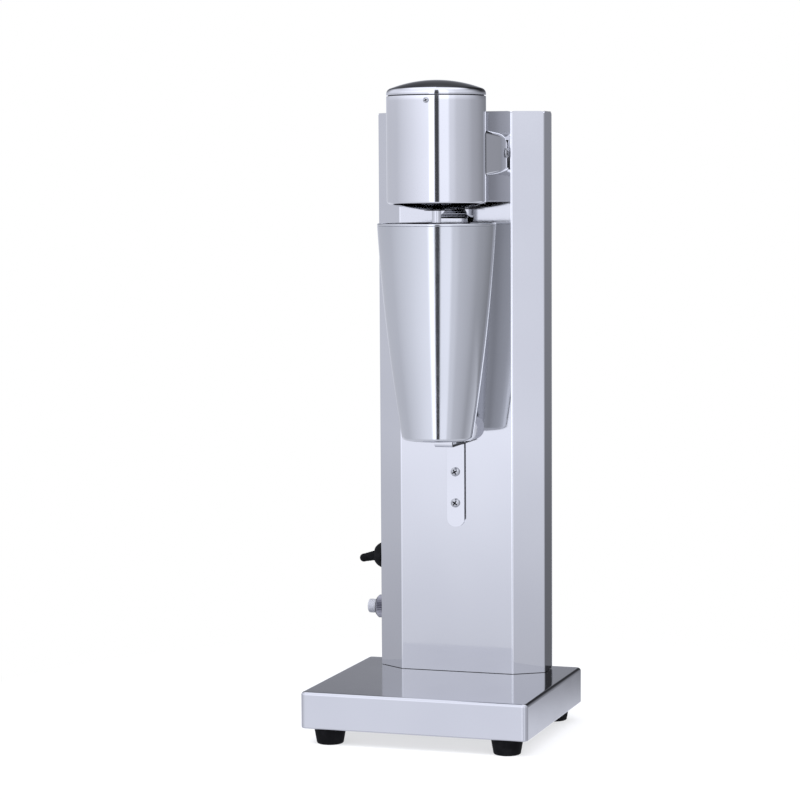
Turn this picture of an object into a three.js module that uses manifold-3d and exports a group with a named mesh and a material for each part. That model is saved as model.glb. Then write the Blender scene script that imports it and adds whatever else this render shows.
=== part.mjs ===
// Single-head milkshake mixer: a folded steel stand with a chamfered column, a tilting motor head
// with its spindle, and a malt cup that hangs from a rim hook and rests on a small ledge.
// Millimetres, +Z up, the front faces -Y. The origin is the centre of the footprint on the counter.
import * as THREE from 'three';
import { mergeVertices } from 'three/addons/utils/BufferGeometryUtils.js';
import Module from 'manifold-3d';

const wasm = await Module();
wasm.setup();

// ---- driving dimensions ----
const GAP = 0.3;                 // between pieces that touch
const SHEET = 1.5;               // folded stainless sheet
const QUARTER = Math.PI / 2;

const BASE = { width: 171, depth: 156, height: 26.8, corner: 4, edge: 2 };
const FOOT = {
  height: 12, top: 11.8, bottom: 9.6, insetX: 18.5, insetY: 13.8,
  recess: 5.2, recessHeight: 5, hole: 2.4,
};
const COLUMN = { frontHalf: 43.5, half: 64.8, chamfer: 14.2, side: 21.8, height: 419.9, flange: 9 };
const BASE_TOP = FOOT.height + BASE.height;
const FACE_Y = 33;               // plane of the column's front face
const CHAMFER_Y = FACE_Y + COLUMN.chamfer;
const BACK_Y = CHAMFER_Y + COLUMN.side;
const PANEL_THICK = 1.2;
const SHELL_BACK = BACK_Y - PANEL_THICK - GAP;
const COLUMN_BOTTOM = BASE_TOP + GAP;
const COLUMN_TOP = BASE_TOP + COLUMN.height;

const AXIS_REACH = 46;           // spindle axis in front of the column's face
const AXIS_Y = FACE_Y - AXIS_REACH;
const CUP = {
  height: 158.3, bottomRadius: 25.85, taper: 0.1645, curve: 3.354e-4,
  wall: 0.8, floor: 1.2, corner: 3,
};
const CUP_BOTTOM = 218.8;
const RIM_Z = CUP_BOTTOM + CUP.height;

const HEAD = {
  radius: 36.3, wall: 1.2, lowEdge: RIM_Z + 15, seam: RIM_Z + 92.1,
  skirt: 4.2, dome: 7.3, dish: 6.2,
};
const SCREW_RING = HEAD.seam - 4; // height of the three screws that hold the top cap

const PIVOT = { reach: 7.2, z: 427.8, screwRadius: 2.5 };
const PIVOT_Y = FACE_Y - PIVOT.reach;
const NECK = {
  half: 41.5, reach: 44.6, rear: 2, corner: 8, webRear: 9,
  frontLow: 409.9, frontHigh: 445.2, rearLow: 414.1, rearHigh: 442.2,
};

const LEDGE = {
  half: 6.9, reach: 32.7, top: 213.6, thick: 2,
  stripEnd: 148.8, screwHigh: 190.4, screwLow: 167,
};
const BACKREST = { low: 214.1, high: 232.2, half: 22, bend: 7, lean: 6.5 };
const HOOK = { topHalf: 6.3, half: 12, top: 406.5, flareHigh: 389.4, step: 380.4, reach: 9, tip: 372.9 };

const TOGGLE = { y: 58, z: 121.7, ball: 4.8, reach: 5, lever: 21, neck: 3.9, tip: 3.2, droop: 13 };
const TOGGLE_BUSH = 5.6;
const RESET = { y: 58, z: 81.8, nutRadius: 8.8, nutLength: 5.6, buttonRadius: 5.3, tip: 13.2 };
const RESET_BUSH = 7.2;
const LEAD = { radius: 2.6, hole: 5 };
const GROMMET = { z: 63, hole: 7, bore: 3.6 }; // for the supply cord, in the back panel

const MOTOR = {
  statorRadius: 30, statorLow: 414, statorHigh: 444, boreRadius: 17.5,
  lowBridge: 399.5, highBridge: 457, bridgeRadius: 34.8, bearingRadius: 8,
  armatureRadius: 16.5, shaftRadius: 4, fanLow: 405, fanRadius: 25,
};
const COMMUTATOR = { radius: 9.6, low: 447, high: 455.5 };
const SPINDLE = { radius: 3.4, low: 246, agitatorRadius: 12.5 };
const COUPLING_Z = HEAD.lowEdge + 1; // where the spindle screws onto the motor's shaft

// ---- finishes ----
const polished = () => new THREE.MeshStandardMaterial({ color: 0xcfd0d4, roughness: 0.12, metalness: 1 });
const brushed = () => new THREE.MeshStandardMaterial({ color: 0xbfc0c4, roughness: 0.32, metalness: 1 });
const rubber = () => new THREE.MeshStandardMaterial({ color: 0x111111, roughness: 0.75, metalness: 0 });
const zinc = () => new THREE.MeshStandardMaterial({ color: 0x9a9b9e, roughness: 0.4, metalness: 1 });
const blackPlastic = () => new THREE.MeshStandardMaterial({ color: 0x1a1a1c, roughness: 0.5, metalness: 0 });
const greyPlastic = () => new THREE.MeshStandardMaterial({ color: 0xa9adb3, roughness: 0.4, metalness: 0 });
const laminations = () => new THREE.MeshStandardMaterial({ color: 0x6b6d70, roughness: 0.55, metalness: 1 });
const copper = () => new THREE.MeshStandardMaterial({ color: 0xb06a3a, roughness: 0.35, metalness: 1 });

// ---- solids ----
// Merges shared points, drops slivers at the axis of turned shapes and turns the faces outwards.
function closed(geometry) {
  const bare = geometry.clone();
  bare.deleteAttribute('normal');
  bare.deleteAttribute('uv');
  const merged = mergeVertices(bare, 1e-4);
  const point = merged.attributes.position;
  const index = merged.index.array;
  const kept = [];
  let volume = 0;
  const a = new THREE.Vector3();
  const b = new THREE.Vector3();
  const c = new THREE.Vector3();
  for (let i = 0; i < index.length; i += 3) {
    const [p, q, r] = [index[i], index[i + 1], index[i + 2]];
    if (p === q || q === r || r === p) continue;
    kept.push(p, q, r);
    a.fromBufferAttribute(point, p);
    b.fromBufferAttribute(point, q);
    c.fromBufferAttribute(point, r);
    volume += a.dot(b.cross(c));
  }
  if (volume < 0) {
    for (let i = 0; i < kept.length; i += 3) [kept[i], kept[i + 1]] = [kept[i + 1], kept[i]];
  }
  const result = new THREE.BufferGeometry();
  result.setAttribute('position', new THREE.BufferAttribute(new Float32Array(point.array), 3));
  result.setIndex(kept);
  return result;
}

function toManifold(geometry) {
  const tidy = closed(geometry);
  return new wasm.Manifold(new wasm.Mesh({
    numProp: 3,
    vertProperties: new Float32Array(tidy.attributes.position.array),
    triVerts: new Uint32Array(tidy.index.array),
  }));
}

function fromManifold(solid) {
  const mesh = solid.getMesh();
  const geometry = new THREE.BufferGeometry();
  geometry.setAttribute('position', new THREE.BufferAttribute(new Float32Array(mesh.vertProperties), 3));
  geometry.setIndex(Array.from(mesh.triVerts));
  return geometry;
}

const cut = (body, ...tools) =>
  fromManifold(tools.reduce((left, tool) => left.subtract(toManifold(tool)), toManifold(body)));

const join = (body, ...others) =>
  fromManifold(others.reduce((sum, other) => sum.add(toManifold(other)), toManifold(body)));

// A box from its lowest to its highest corner.
function block(low, high) {
  const size = high.map((value, i) => value - low[i]);
  const box = new THREE.BoxGeometry(...size);
  return box.translate(...low.map((value, i) => value + size[i] / 2));
}

// A solid turned about +Z from [radius, z] points that start and end on the axis or meet themselves.
function turned(profile, segments = 32) {
  const points = profile.map(([radius, z]) => new THREE.Vector2(radius, z));
  return closed(new THREE.LatheGeometry(points, segments)).rotateX(QUARTER);
}

const rod = (radius, low, high, segments = 24) =>
  turned([[0, low], [radius, low], [radius, high], [0, high]], segments);

const ring = (inner, outer, low, high, segments = 32) =>
  turned([[inner, low], [outer, low], [outer, high], [inner, high], [inner, low]], segments);

// Points on an arc in degrees, for rounded profiles.
function arc(cx, cy, radius, from, to, steps) {
  return Array.from({ length: steps + 1 }, (_, i) => {
    const angle = THREE.MathUtils.degToRad(from + (to - from) * i / steps);
    return [cx + radius * Math.cos(angle), cy + radius * Math.sin(angle)];
  });
}

const outline = (points) => new THREE.Shape(points.map(([x, y]) => new THREE.Vector2(x, y)));

// A flat outline in X and Y, raised from low to high along Z.
const raised = (points, low, high) =>
  new THREE.ExtrudeGeometry(outline(points), { depth: high - low, bevelEnabled: false }).translate(0, 0, low);

// An outline in Y and Z, run from low to high along X.
const runX = (points, low, high) =>
  raised(points, low, high).applyMatrix4(new THREE.Matrix4().makeBasis(
    new THREE.Vector3(0, 1, 0), new THREE.Vector3(0, 0, 1), new THREE.Vector3(1, 0, 0)));

// An outline in X and Z, run from low to high along Y.
const runY = (points, low, high) =>
  raised(points, -high, -low).applyMatrix4(new THREE.Matrix4().makeBasis(
    new THREE.Vector3(1, 0, 0), new THREE.Vector3(0, 0, 1), new THREE.Vector3(0, -1, 0)));

function roundedRectangle(halfX, halfY, radius, steps) {
  return [
    ...arc(halfX - radius, halfY - radius, radius, 0, 90, steps),
    ...arc(-halfX + radius, halfY - radius, radius, 90, 180, steps),
    ...arc(-halfX + radius, -halfY + radius, radius, 180, 270, steps),
    ...arc(halfX - radius, -halfY + radius, radius, 270, 360, steps),
  ];
}

// A pan-head screw that points down -Z from the face at z = 0, with its head above.
function screw(headRadius, headHeight, shankRadius, shankLength) {
  return turned([
    [0, -shankLength], [shankRadius, -shankLength], [shankRadius, GAP], [headRadius, GAP],
    [headRadius, GAP + headHeight * 0.45], [headRadius * 0.6, GAP + headHeight], [0, GAP + headHeight],
  ], 10);
}

// Turns +Z of a geometry to a named direction.
const facing = {
  front: (geometry) => geometry.rotateX(QUARTER),
  back: (geometry) => geometry.rotateX(-QUARTER),
  right: (geometry) => geometry.rotateY(QUARTER),
  left: (geometry) => geometry.rotateY(-QUARTER),
  down: (geometry) => geometry.rotateX(Math.PI),
};

const mixer = new THREE.Group();

function add(name, geometry, material, x = 0, y = 0, z = 0) {
  const mesh = new THREE.Mesh(closed(geometry), material);
  mesh.name = name;
  mesh.position.set(x, y, z);
  mixer.add(mesh);
}

// ---- base: folded pan, bottom plate, four rubber feet ----
const footPlaces = [];
for (const [side, x] of [['left', -1], ['right', 1]]) {
  for (const [end, y] of [['front', -1], ['rear', 1]]) {
    const place = [x * (BASE.width / 2 - FOOT.insetX), y * (BASE.depth / 2 - FOOT.insetY)];
    footPlaces.push({ label: `${end}_${side}`, x: place[0], y: place[1] });
  }
}

function basePan() {
  const bevel = BASE.edge;
  const plan = roundedRectangle(BASE.width / 2 - bevel, BASE.depth / 2 - bevel, BASE.corner - bevel, 3);
  const blank = new THREE.ExtrudeGeometry(outline(plan), {
    depth: BASE.height, bevelEnabled: true, bevelSize: bevel, bevelThickness: bevel, bevelSegments: 2,
  }).translate(0, 0, FOOT.height - bevel);
  const belowPan = block([-BASE.width, -BASE.depth, 0], [BASE.width, BASE.depth, FOOT.height]);
  const inside = roundedRectangle(BASE.width / 2 - SHEET, BASE.depth / 2 - SHEET, BASE.corner - SHEET, 3);
  return cut(blank, belowPan, raised(inside, FOOT.height - 1, BASE_TOP - SHEET));
}

function bottomPlate() {
  const clear = SHEET + GAP;
  const plan = roundedRectangle(BASE.width / 2 - clear, BASE.depth / 2 - clear, BASE.corner - clear, 3);
  const low = FOOT.height + GAP;
  const holes = footPlaces.map(({ x, y }) => rod(FOOT.hole, 0, BASE_TOP, 12).translate(x, y, 0));
  return cut(raised(plan, low, low + SHEET), ...holes);
}

const foot = turned([
  [FOOT.hole, FOOT.height], [FOOT.hole, FOOT.recessHeight],
  [FOOT.recess, FOOT.recessHeight], [FOOT.recess, 0],
  [FOOT.bottom - 0.8, 0], [FOOT.bottom, 0.8], [FOOT.top, FOOT.height - 1], [FOOT.top, FOOT.height],
  [FOOT.hole, FOOT.height],
], 16);

add('base_pan', basePan(), polished());
add('base_bottom_plate', bottomPlate(), zinc());
for (const { label, x, y } of footPlaces) {
  add(`foot_${label}`, foot, rubber(), x, y);
  add(`foot_screw_${label}`, facing.down(screw(4.2, 2.2, 2.1, 12)), zinc(), x, y, FOOT.recessHeight);
}

// ---- column: one folded sheet, a flat back panel, a top cap and two foot brackets ----
function columnSection(inset) {
  const angle = Math.atan2(COLUMN.chamfer, COLUMN.half - COLUMN.frontHalf);
  const frontCorner = inset * Math.tan(angle / 2);
  const sideCorner = inset * Math.tan((QUARTER - angle) / 2);
  return [
    [COLUMN.frontHalf - frontCorner, FACE_Y + inset],
    [COLUMN.half - inset, CHAMFER_Y + sideCorner],
    [COLUMN.half - inset, BACK_Y],
  ];
}

const mirrored = (points) => [...points, ...points.map(([x, y]) => [-x, y]).reverse()];

function columnShell() {
  const outer = columnSection(0).map(([x, y]) => [x, Math.min(y, SHELL_BACK)]);
  const inner = columnSection(SHEET).map(([x, y]) => [x, Math.min(y, SHELL_BACK - SHEET)]);
  const lipX = COLUMN.half - COLUMN.flange;
  const lips = [[lipX, SHELL_BACK - SHEET], [lipX, SHELL_BACK + 1]];
  const body = raised(mirrored(outer), COLUMN_BOTTOM, COLUMN_TOP);
  const hollow = raised(mirrored([...inner, ...lips]), COLUMN_BOTTOM - 1, COLUMN_TOP + 1);
  const frontHole = (radius, z) => facing.front(rod(radius, -6, 6, 14)).translate(0, FACE_Y, z);
  const sideHole = (radius, y, z) => facing.left(rod(radius, -6, 6, 24)).translate(-COLUMN.half, y, z);
  return cut(body, hollow,
    frontHole(2.3, LEDGE.screwHigh), frontHole(2.3, LEDGE.screwLow), frontHole(LEAD.hole, PIVOT.z),
    sideHole(TOGGLE_BUSH + GAP, TOGGLE.y, TOGGLE.z), sideHole(RESET_BUSH + GAP, RESET.y, RESET.z));
}

const panelScrews = [];
for (const [side, x] of [['left', -1], ['right', 1]]) {
  for (const [level, z] of [['low', COLUMN_BOTTOM + 24], ['high', COLUMN_TOP - 24]]) {
    panelScrews.push({ label: `${side}_${level}`, x: x * (COLUMN.half - 5), z });
  }
}

function backPanel() {
  const plate = block(
    [-COLUMN.half + GAP, BACK_Y - PANEL_THICK, COLUMN_BOTTOM + GAP],
    [COLUMN.half - GAP, BACK_Y, COLUMN_TOP - GAP],
  );
  const screwHoles = panelScrews.map(({ x, z }) => facing.back(rod(1.8, -4, 4, 12)).translate(x, BACK_Y, z));
  return cut(plate, ...screwHoles, facing.back(rod(GROMMET.hole, -4, 4, 20)).translate(0, BACK_Y, GROMMET.z));
}

function shellWithScrewHoles() {
  const holes = panelScrews.map(({ x, z }) => facing.back(rod(1.8, -4, 4, 12)).translate(x, SHELL_BACK, z));
  return cut(columnShell(), ...holes);
}

function topCap() {
  const clear = SHEET + GAP;
  const plan = columnSection(clear).map(([x, y]) => [x, Math.min(y, SHELL_BACK - clear)]);
  return raised(mirrored(plan), COLUMN_TOP - GAP - SHEET, COLUMN_TOP - GAP);
}

// An angle inside the column's side that stands on the pan and is screwed to both.
function footBracket(side) {
  const wall = COLUMN.half - SHEET - GAP;
  const low = BASE_TOP + GAP;
  const angle = [
    [wall, low], [wall, low + 18], [wall - 2, low + 18],
    [wall - 2, low + 2], [wall - 18, low + 2], [wall - 18, low],
  ];
  return runY(angle.map(([x, z]) => [x * side, z]), 51, 64);
}

add('column_shell', shellWithScrewHoles(), polished());
add('column_back_panel', backPanel(), brushed());
add('column_top_cap', topCap(), polished());
add('column_foot_bracket_left', footBracket(-1), zinc());
add('column_foot_bracket_right', footBracket(1), zinc());
for (const { label, x, z } of panelScrews) {
  add(`panel_screw_${label}`, facing.back(screw(2.9, 1.6, 1.5, 6)), zinc(), x, BACK_Y, z);
}

// ---- electrical pieces in the column ----
// A grommet with a groove that sits in a sheet from z = 0 down to -thick.
function grommet(bore, hole, flange, thick) {
  return turned([
    [bore, -thick - GAP - 2], [flange, -thick - GAP - 2], [flange, -thick - GAP], [hole - GAP, -thick - GAP],
    [hole - GAP, GAP], [flange, GAP], [flange - 0.8, GAP + 1.6], [bore, GAP + 1.6], [bore, -thick - GAP - 2],
  ], 14);
}

const LEAD_PATH = [
  [0, FACE_Y - 3.5, PIVOT.z], [0, FACE_Y + 4, PIVOT.z],
  [0, FACE_Y + 13, PIVOT.z - 6], [0, FACE_Y + 16, PIVOT.z - 22], [0, FACE_Y + 18, PIVOT.z - 90],
  [-4, FACE_Y + 20, 250], [-22, TOGGLE.y - 3, 180], [-34, TOGGLE.y, 158],
  [-46, TOGGLE.y, TOGGLE.z + 22],
];

function motorLead() {
  const curve = new THREE.CatmullRomCurve3(LEAD_PATH.map((point) => new THREE.Vector3(...point)));
  const section = outline(arc(0, 0, LEAD.radius, 0, 315, 7));
  return new THREE.ExtrudeGeometry(section, { steps: 36, bevelEnabled: false, extrudePath: curve });
}

// Switch cases sit behind the side wall; their threaded bushes pass through it towards -X.
function toggleCase() {
  const wall = COLUMN.half - SHEET - GAP;
  const low = [-wall, TOGGLE.y - 8, TOGGLE.z - 14];
  const high = [-wall + 22, TOGGLE.y + 8, TOGGLE.z + 14];
  const thread = ring(3.2, TOGGLE_BUSH, -0.5, SHEET + GAP, 24);
  const bush = facing.left(thread).translate(-wall, TOGGLE.y, TOGGLE.z);
  return join(block(low, high), bush);
}

function breakerCase() {
  const wall = COLUMN.half - SHEET - GAP;
  const low = [-wall, RESET.y - 8, RESET.z - 13];
  const high = [-wall + 26, RESET.y + 8, RESET.z + 13];
  const bush = facing.left(ring(RESET.buttonRadius + GAP, RESET_BUSH, -0.5, 8.2, 24));
  return join(block(low, high), bush.translate(-wall, RESET.y, RESET.z));
}

add('motor_lead', motorLead(), rubber());
const leadGrommet = grommet(LEAD.radius + GAP, LEAD.hole, LEAD.hole + 1.6, SHEET);
add('motor_lead_grommet', facing.front(leadGrommet), rubber(), 0, FACE_Y, PIVOT.z);
add('cord_grommet', facing.back(grommet(GROMMET.bore, GROMMET.hole, GROMMET.hole + 2, PANEL_THICK)), rubber(),
  0, BACK_Y, GROMMET.z);
add('terminal_block', block([8, SHELL_BACK - 12.3, 84], [44, SHELL_BACK, 100]), greyPlastic());
add('toggle_switch_case', toggleCase(), blackPlastic());
add('breaker_case', breakerCase(), blackPlastic());

// The rubber boot's fixed collar: a low dome, bored out round the lever's ball.
function toggleCollar() {
  const inner = TOGGLE.ball + 0.4;
  const mouthRise = 1.6;
  const mouth = Math.sqrt(inner ** 2 - mouthRise ** 2);
  const bore = TOGGLE_BUSH + GAP;
  return turned([
    [bore, GAP], [9.4, GAP], ...arc(0, -0.76, 9.51, 10, 54.7, 4),
    [mouth, TOGGLE.reach + mouthRise], [inner, TOGGLE.reach], [bore, TOGGLE.reach - 1], [bore, GAP],
  ], 16);
}

// The lever in its tapered rubber sleeve, pointing out along +Z from the pivot at the origin.
function toggleLever() {
  const { ball, neck, tip, lever, reach } = TOGGLE;
  const neckAngle = THREE.MathUtils.radToDeg(Math.acos(neck / ball));
  const tipCentre = lever - reach - tip;
  return turned([
    [0, -ball], ...arc(0, 0, ball, -70, neckAngle, 5), [neck - 0.1, 3.4],
    ...arc(0, tipCentre, tip, 0, 70, 3), [0, tipCentre + tip],
  ], 14);
}

const leverAngle = THREE.MathUtils.degToRad(TOGGLE.droop);
add('toggle_boot_collar', facing.left(toggleCollar()), rubber(), -COLUMN.half, TOGGLE.y, TOGGLE.z);
add('toggle_lever', facing.left(toggleLever()).rotateY(-leverAngle), rubber(),
  -COLUMN.half - TOGGLE.reach, TOGGLE.y, TOGGLE.z);

// The breaker's knurled ring and its push-to-reset button.
function knurledRing() {
  const ribs = 20;
  const rim = Array.from({ length: ribs * 2 }, (_, i) => {
    const angle = Math.PI * i / ribs;
    const radius = RESET.nutRadius - (i % 2) * 0.6;
    return [radius * Math.cos(angle), radius * Math.sin(angle)];
  });
  return cut(raised(rim, GAP, RESET.nutLength), rod(RESET_BUSH + GAP, -1, RESET.nutLength + 1, 24));
}

const BUTTON_INNER = 3.4; // leaves room behind the button for its travel
const button = turned([
  [0, BUTTON_INNER], [RESET.buttonRadius, BUTTON_INNER],
  [RESET.buttonRadius, RESET.tip - 1.2], [RESET.buttonRadius - 1.2, RESET.tip],
  [0, RESET.tip],
], 24);

add('breaker_ring', facing.left(knurledRing()), zinc(), -COLUMN.half, RESET.y, RESET.z);
add('reset_button', facing.left(button), greyPlastic(), -COLUMN.half, RESET.y, RESET.z);

// ---- hinge bracket on the column's face, with the two pivot screws ----
function hingeBracket() {
  const back = FACE_Y - GAP;
  const earOuter = NECK.half - SHEET - 0.8;
  const plate = block([-earOuter, back - 2, PIVOT.z - 10], [earOuter, back, PIVOT.z + 10]);
  const cheek = [[back, PIVOT.z - 9], ...arc(PIVOT_Y, PIVOT.z, 6, 270, 90, 8), [back, PIVOT.z + 9]];
  const ears = [-earOuter, earOuter - 2].map((low) => runX(cheek, low, low + 2));
  const pinHole = facing.right(rod(PIVOT.screwRadius + GAP, -60, 60, 16)).translate(0, PIVOT_Y, PIVOT.z);
  const leadHole = facing.front(rod(LEAD.hole + 2.4, -1, 6, 20)).translate(0, FACE_Y, PIVOT.z);
  return cut(join(plate, ...ears), pinHole, leadHole);
}

add('hinge_bracket', hingeBracket(), zinc());
const pivotScrew = () => screw(3.6, 1.9, PIVOT.screwRadius, 5.4);
add('pivot_screw_left', facing.left(pivotScrew()), polished(), -NECK.half, PIVOT_Y, PIVOT.z);
add('pivot_screw_right', facing.right(pivotScrew()), polished(), NECK.half, PIVOT_Y, PIVOT.z);

// ---- cup supports on the column's face ----
function ledge() {
  const back = FACE_Y - GAP;
  const front = FACE_Y - LEDGE.reach;
  const { half, top, thick } = LEDGE;
  const end = LEDGE.stripEnd + half;
  const strip = runY([...arc(0, end, half, 180, 360, 10), [half, top], [-half, top]], back - thick, back);
  const shelf = block([-half, front, top - thick], [half, back - 0.5, top]);
  const lip = block([-half, front, top - 0.5], [half, front + thick, CUP_BOTTOM - GAP]);
  const hole = (z) => facing.front(rod(2.3, -6, 6, 14)).translate(0, FACE_Y, z);
  const holes = [LEDGE.screwHigh, LEDGE.screwLow].map(hole);
  return cut(join(strip, shelf, lip), ...holes);
}

// A shallow sheet behind the cup's foot with its two wings bent forward.
function backrest() {
  const rear = FACE_Y - GAP * 2 - LEDGE.thick;
  const { bend, half, lean, low, high } = BACKREST;
  return raised([
    [-bend, rear], [bend, rear], [half, rear - lean], [half, rear - lean - SHEET], [bend, rear - SHEET],
    [-bend, rear - SHEET], [-half, rear - lean - SHEET], [-half, rear - lean],
  ], low, high);
}

// A flared tongue on the column whose tip turns down inside the cup's rear rim.
function rimHook() {
  const back = FACE_Y - GAP;
  const { topHalf, half, top, flareHigh, step, reach, tip } = HOOK;
  const tongue = runY([
    [-topHalf, top], [-topHalf, flareHigh], [-half, step + SHEET], [-half, step], [half, step],
    [half, step + SHEET], [topHalf, flareHigh], [topHalf, top],
  ], back - SHEET, back);
  const shelf = block([-half, FACE_Y - reach, step], [half, back - 0.5, step + SHEET]);
  const lip = runY([
    [-half, step + 0.5], [-half, tip + 3], ...arc(-half + 3, tip + 3, 3, 180, 270, 3),
    ...arc(half - 3, tip + 3, 3, 270, 360, 3), [half, step + 0.5],
  ], FACE_Y - reach, FACE_Y - reach + SHEET);
  return join(tongue, shelf, lip);
}

add('cup_ledge', ledge(), polished());
for (const [level, z] of [['upper', LEDGE.screwHigh], ['lower', LEDGE.screwLow]]) {
  const ledgeScrew = facing.front(screw(3.4, 2, 2, 7));
  add(`ledge_screw_${level}`, ledgeScrew, polished(), 0, FACE_Y - GAP - LEDGE.thick, z);
}
add('cup_backrest', backrest(), polished());
add('cup_rim_hook', rimHook(), polished());

// ---- cup ----
const cupRadius = (rise) => CUP.bottomRadius + CUP.taper * rise - CUP.curve * rise ** 2;

function cup() {
  const steps = 7;
  const rise = (_, i) => CUP.corner + (CUP.height - CUP.corner) * i / steps;
  const rises = Array.from({ length: steps + 1 }, rise);
  const outside = rises.map((rise) => [cupRadius(rise), rise]);
  const inside = rises.map((rise) => [cupRadius(rise) - CUP.wall, Math.max(rise, CUP.floor + 1)]).reverse();
  const foot = arc(outside[0][0] - CUP.corner, CUP.corner, CUP.corner, 270, 340, 2);
  return turned([[0, 0], ...foot, ...outside, ...inside, [0, CUP.floor]], 32);
}

add('cup', cup(), brushed(), 0, AXIS_Y, CUP_BOTTOM);

// ---- head: neck cover, housing, caps ----
function neckCover() {
  const y = (reach) => FACE_Y - reach;
  const { half, reach, rear, frontLow, frontHigh, rearLow, rearHigh, corner, webRear } = NECK;
  const roundedCorner = arc(y(rear + corner), rearHigh - corner, corner, 0, 90, 5);
  const side = [[y(reach), frontLow], [y(rear), rearLow], ...roundedCorner, [y(reach), frontHigh]];
  const front = y(reach) + SHEET;
  const inside = [
    [front, frontLow + SHEET], [y(rear) + 5, rearLow + SHEET - 0.6],
    [y(rear) + 5, rearHigh - SHEET], [front, frontHigh - SHEET],
  ];
  const barrel = (radius) => rod(radius, 380, 480, 32).translate(0, AXIS_Y, 0);
  const hollow = cut(runX(inside, -half + SHEET, half - SHEET), barrel(HEAD.radius + GAP + SHEET));
  const openRear = block([-half + SHEET, y(webRear), rearLow + SHEET], [half - SHEET, y(0), rearHigh + 10]);
  const pinHole = facing.right(rod(PIVOT.screwRadius + GAP, -60, 60, 16)).translate(0, PIVOT_Y, PIVOT.z);
  return cut(runX(side, -half, half), barrel(HEAD.radius + GAP), hollow, openRear, pinHole);
}

// Three screws hold the cap's inner skirt; the first is a little to the right of the front.
const capScrews = [6, 126, 246].map((degrees, i) => ({
  label: ['front', 'right', 'left'][i], angle: THREE.MathUtils.degToRad(degrees),
}));

const capScrewHoles = () => capScrews.map(({ angle }) =>
  facing.front(rod(1.5, HEAD.radius - 8, HEAD.radius + 6, 10)).rotateZ(angle).translate(0, 0, SCREW_RING));

function housing() {
  const { radius, wall, lowEdge, seam } = HEAD;
  const tube = turned([
    [radius - wall, seam], [radius - wall, lowEdge + 3],
    [radius - 4, lowEdge + 0.6], [radius - 3.4, lowEdge - 1.2],
    ...arc(radius - 3.4, lowEdge + 2.2, 3.4, 300, 350, 3), [radius, seam], [radius - wall, seam],
  ], 32);
  return cut(tube, ...capScrewHoles());
}

const DOME_STEPS = 4;

// A pressed dome: an outer skirt above the seam and an inner skirt that the cap screws go into.
function topCapDome() {
  const { radius, wall, seam, skirt, dome } = HEAD;
  const shoulder = seam + skirt;
  const bulge = (radius ** 2 + dome ** 2) / (2 * dome);
  const span = THREE.MathUtils.radToDeg(Math.asin(radius / bulge));
  const curve = (inset) => arc(0, shoulder + dome - bulge, bulge - inset, 90 - span, 90, DOME_STEPS);
  const outer = curve(0).map(([x, z], i) => [i === DOME_STEPS ? 0 : x, z]);
  const inner = curve(wall)
    .map(([x, z], i) => [i === DOME_STEPS ? 0 : Math.min(x, radius - 3.2), z])
    .reverse();
  const innerSkirt = radius - wall - GAP;
  const shell = turned([
    ...inner, [innerSkirt - 1.2, shoulder - 3], [innerSkirt - 1.2, seam - 8], [innerSkirt, seam - 8],
    [innerSkirt, seam + GAP], [radius, seam + GAP], ...outer,
  ], 32);
  return cut(shell, ...capScrewHoles());
}

function bottomDish() {
  const { radius, lowEdge, dish } = HEAD;
  const edge = radius - 4.4;
  const bulge = (edge ** 2 + (dish - 2) ** 2) / (2 * (dish - 2));
  const span = THREE.MathUtils.radToDeg(Math.asin(edge / bulge));
  const centre = lowEdge - dish + bulge;
  const hole = 8;
  const holeAngle = THREE.MathUtils.radToDeg(Math.asin(hole / bulge));
  const outer = arc(0, centre, bulge, 270 + holeAngle, 270 + span, 3);
  const inner = arc(0, centre, bulge - 1.2, 270 + span, 270 + holeAngle, 3);
  return turned([...outer, ...inner, outer[0]], 32);
}

add('neck_cover', neckCover(), polished());
add('head_housing', housing(), polished(), 0, AXIS_Y);
add('head_top_cap', topCapDome(), polished(), 0, AXIS_Y);
add('head_bottom_dish', bottomDish(), polished(), 0, AXIS_Y);
for (const { label, angle } of capScrews) {
  const reach = HEAD.radius;
  add(`cap_screw_${label}`, facing.front(screw(2.1, 1, 1.2, 4)).rotateZ(angle), polished(),
    reach * Math.sin(angle), AXIS_Y - reach * Math.cos(angle), SCREW_RING);
}

// ---- motor: stator and its two bearing bridges in the housing, rotor and spindle on the axis ----

function stator() {
  const { boreRadius, statorRadius, statorLow, statorHigh } = MOTOR;
  const middle = (boreRadius + statorRadius) / 2;
  const windows = [-1, 1].map((side) => block(
    [side * middle - 3, -9, statorLow - 1], [side * middle + 3, 9, statorHigh + 1]));
  return cut(ring(boreRadius, statorRadius, statorLow, statorHigh, 24), ...windows);
}

// A plate across the housing with the bearing's seat in its middle and cooling slots round it.
function bridge(low) {
  const plate = ring(MOTOR.bearingRadius + GAP, MOTOR.bridgeRadius, low, low + 2.4, 32);
  const slot = (i) => block([-5, 16, low - 1], [5, 24, low + 4]).rotateZ(i * QUARTER + QUARTER / 2);
  const slots = [0, 1, 2, 3].map(slot);
  return cut(plate, ...slots);
}

const shaftBore = MOTOR.shaftRadius + GAP;

const bearing = (low) => ring(shaftBore, MOTOR.bearingRadius, low, low + 5, 16);

// A brush holder stands beside the commutator and is fixed to the upper bridge above it.
function brushHolder(side) {
  const [near, far] = [COMMUTATOR.radius + 0.8, 22];
  const xLow = side < 0 ? -far : near;
  return block([xLow, -4, COMMUTATOR.low + 1], [xLow + far - near, 4, MOTOR.highBridge - GAP]);
}

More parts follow.
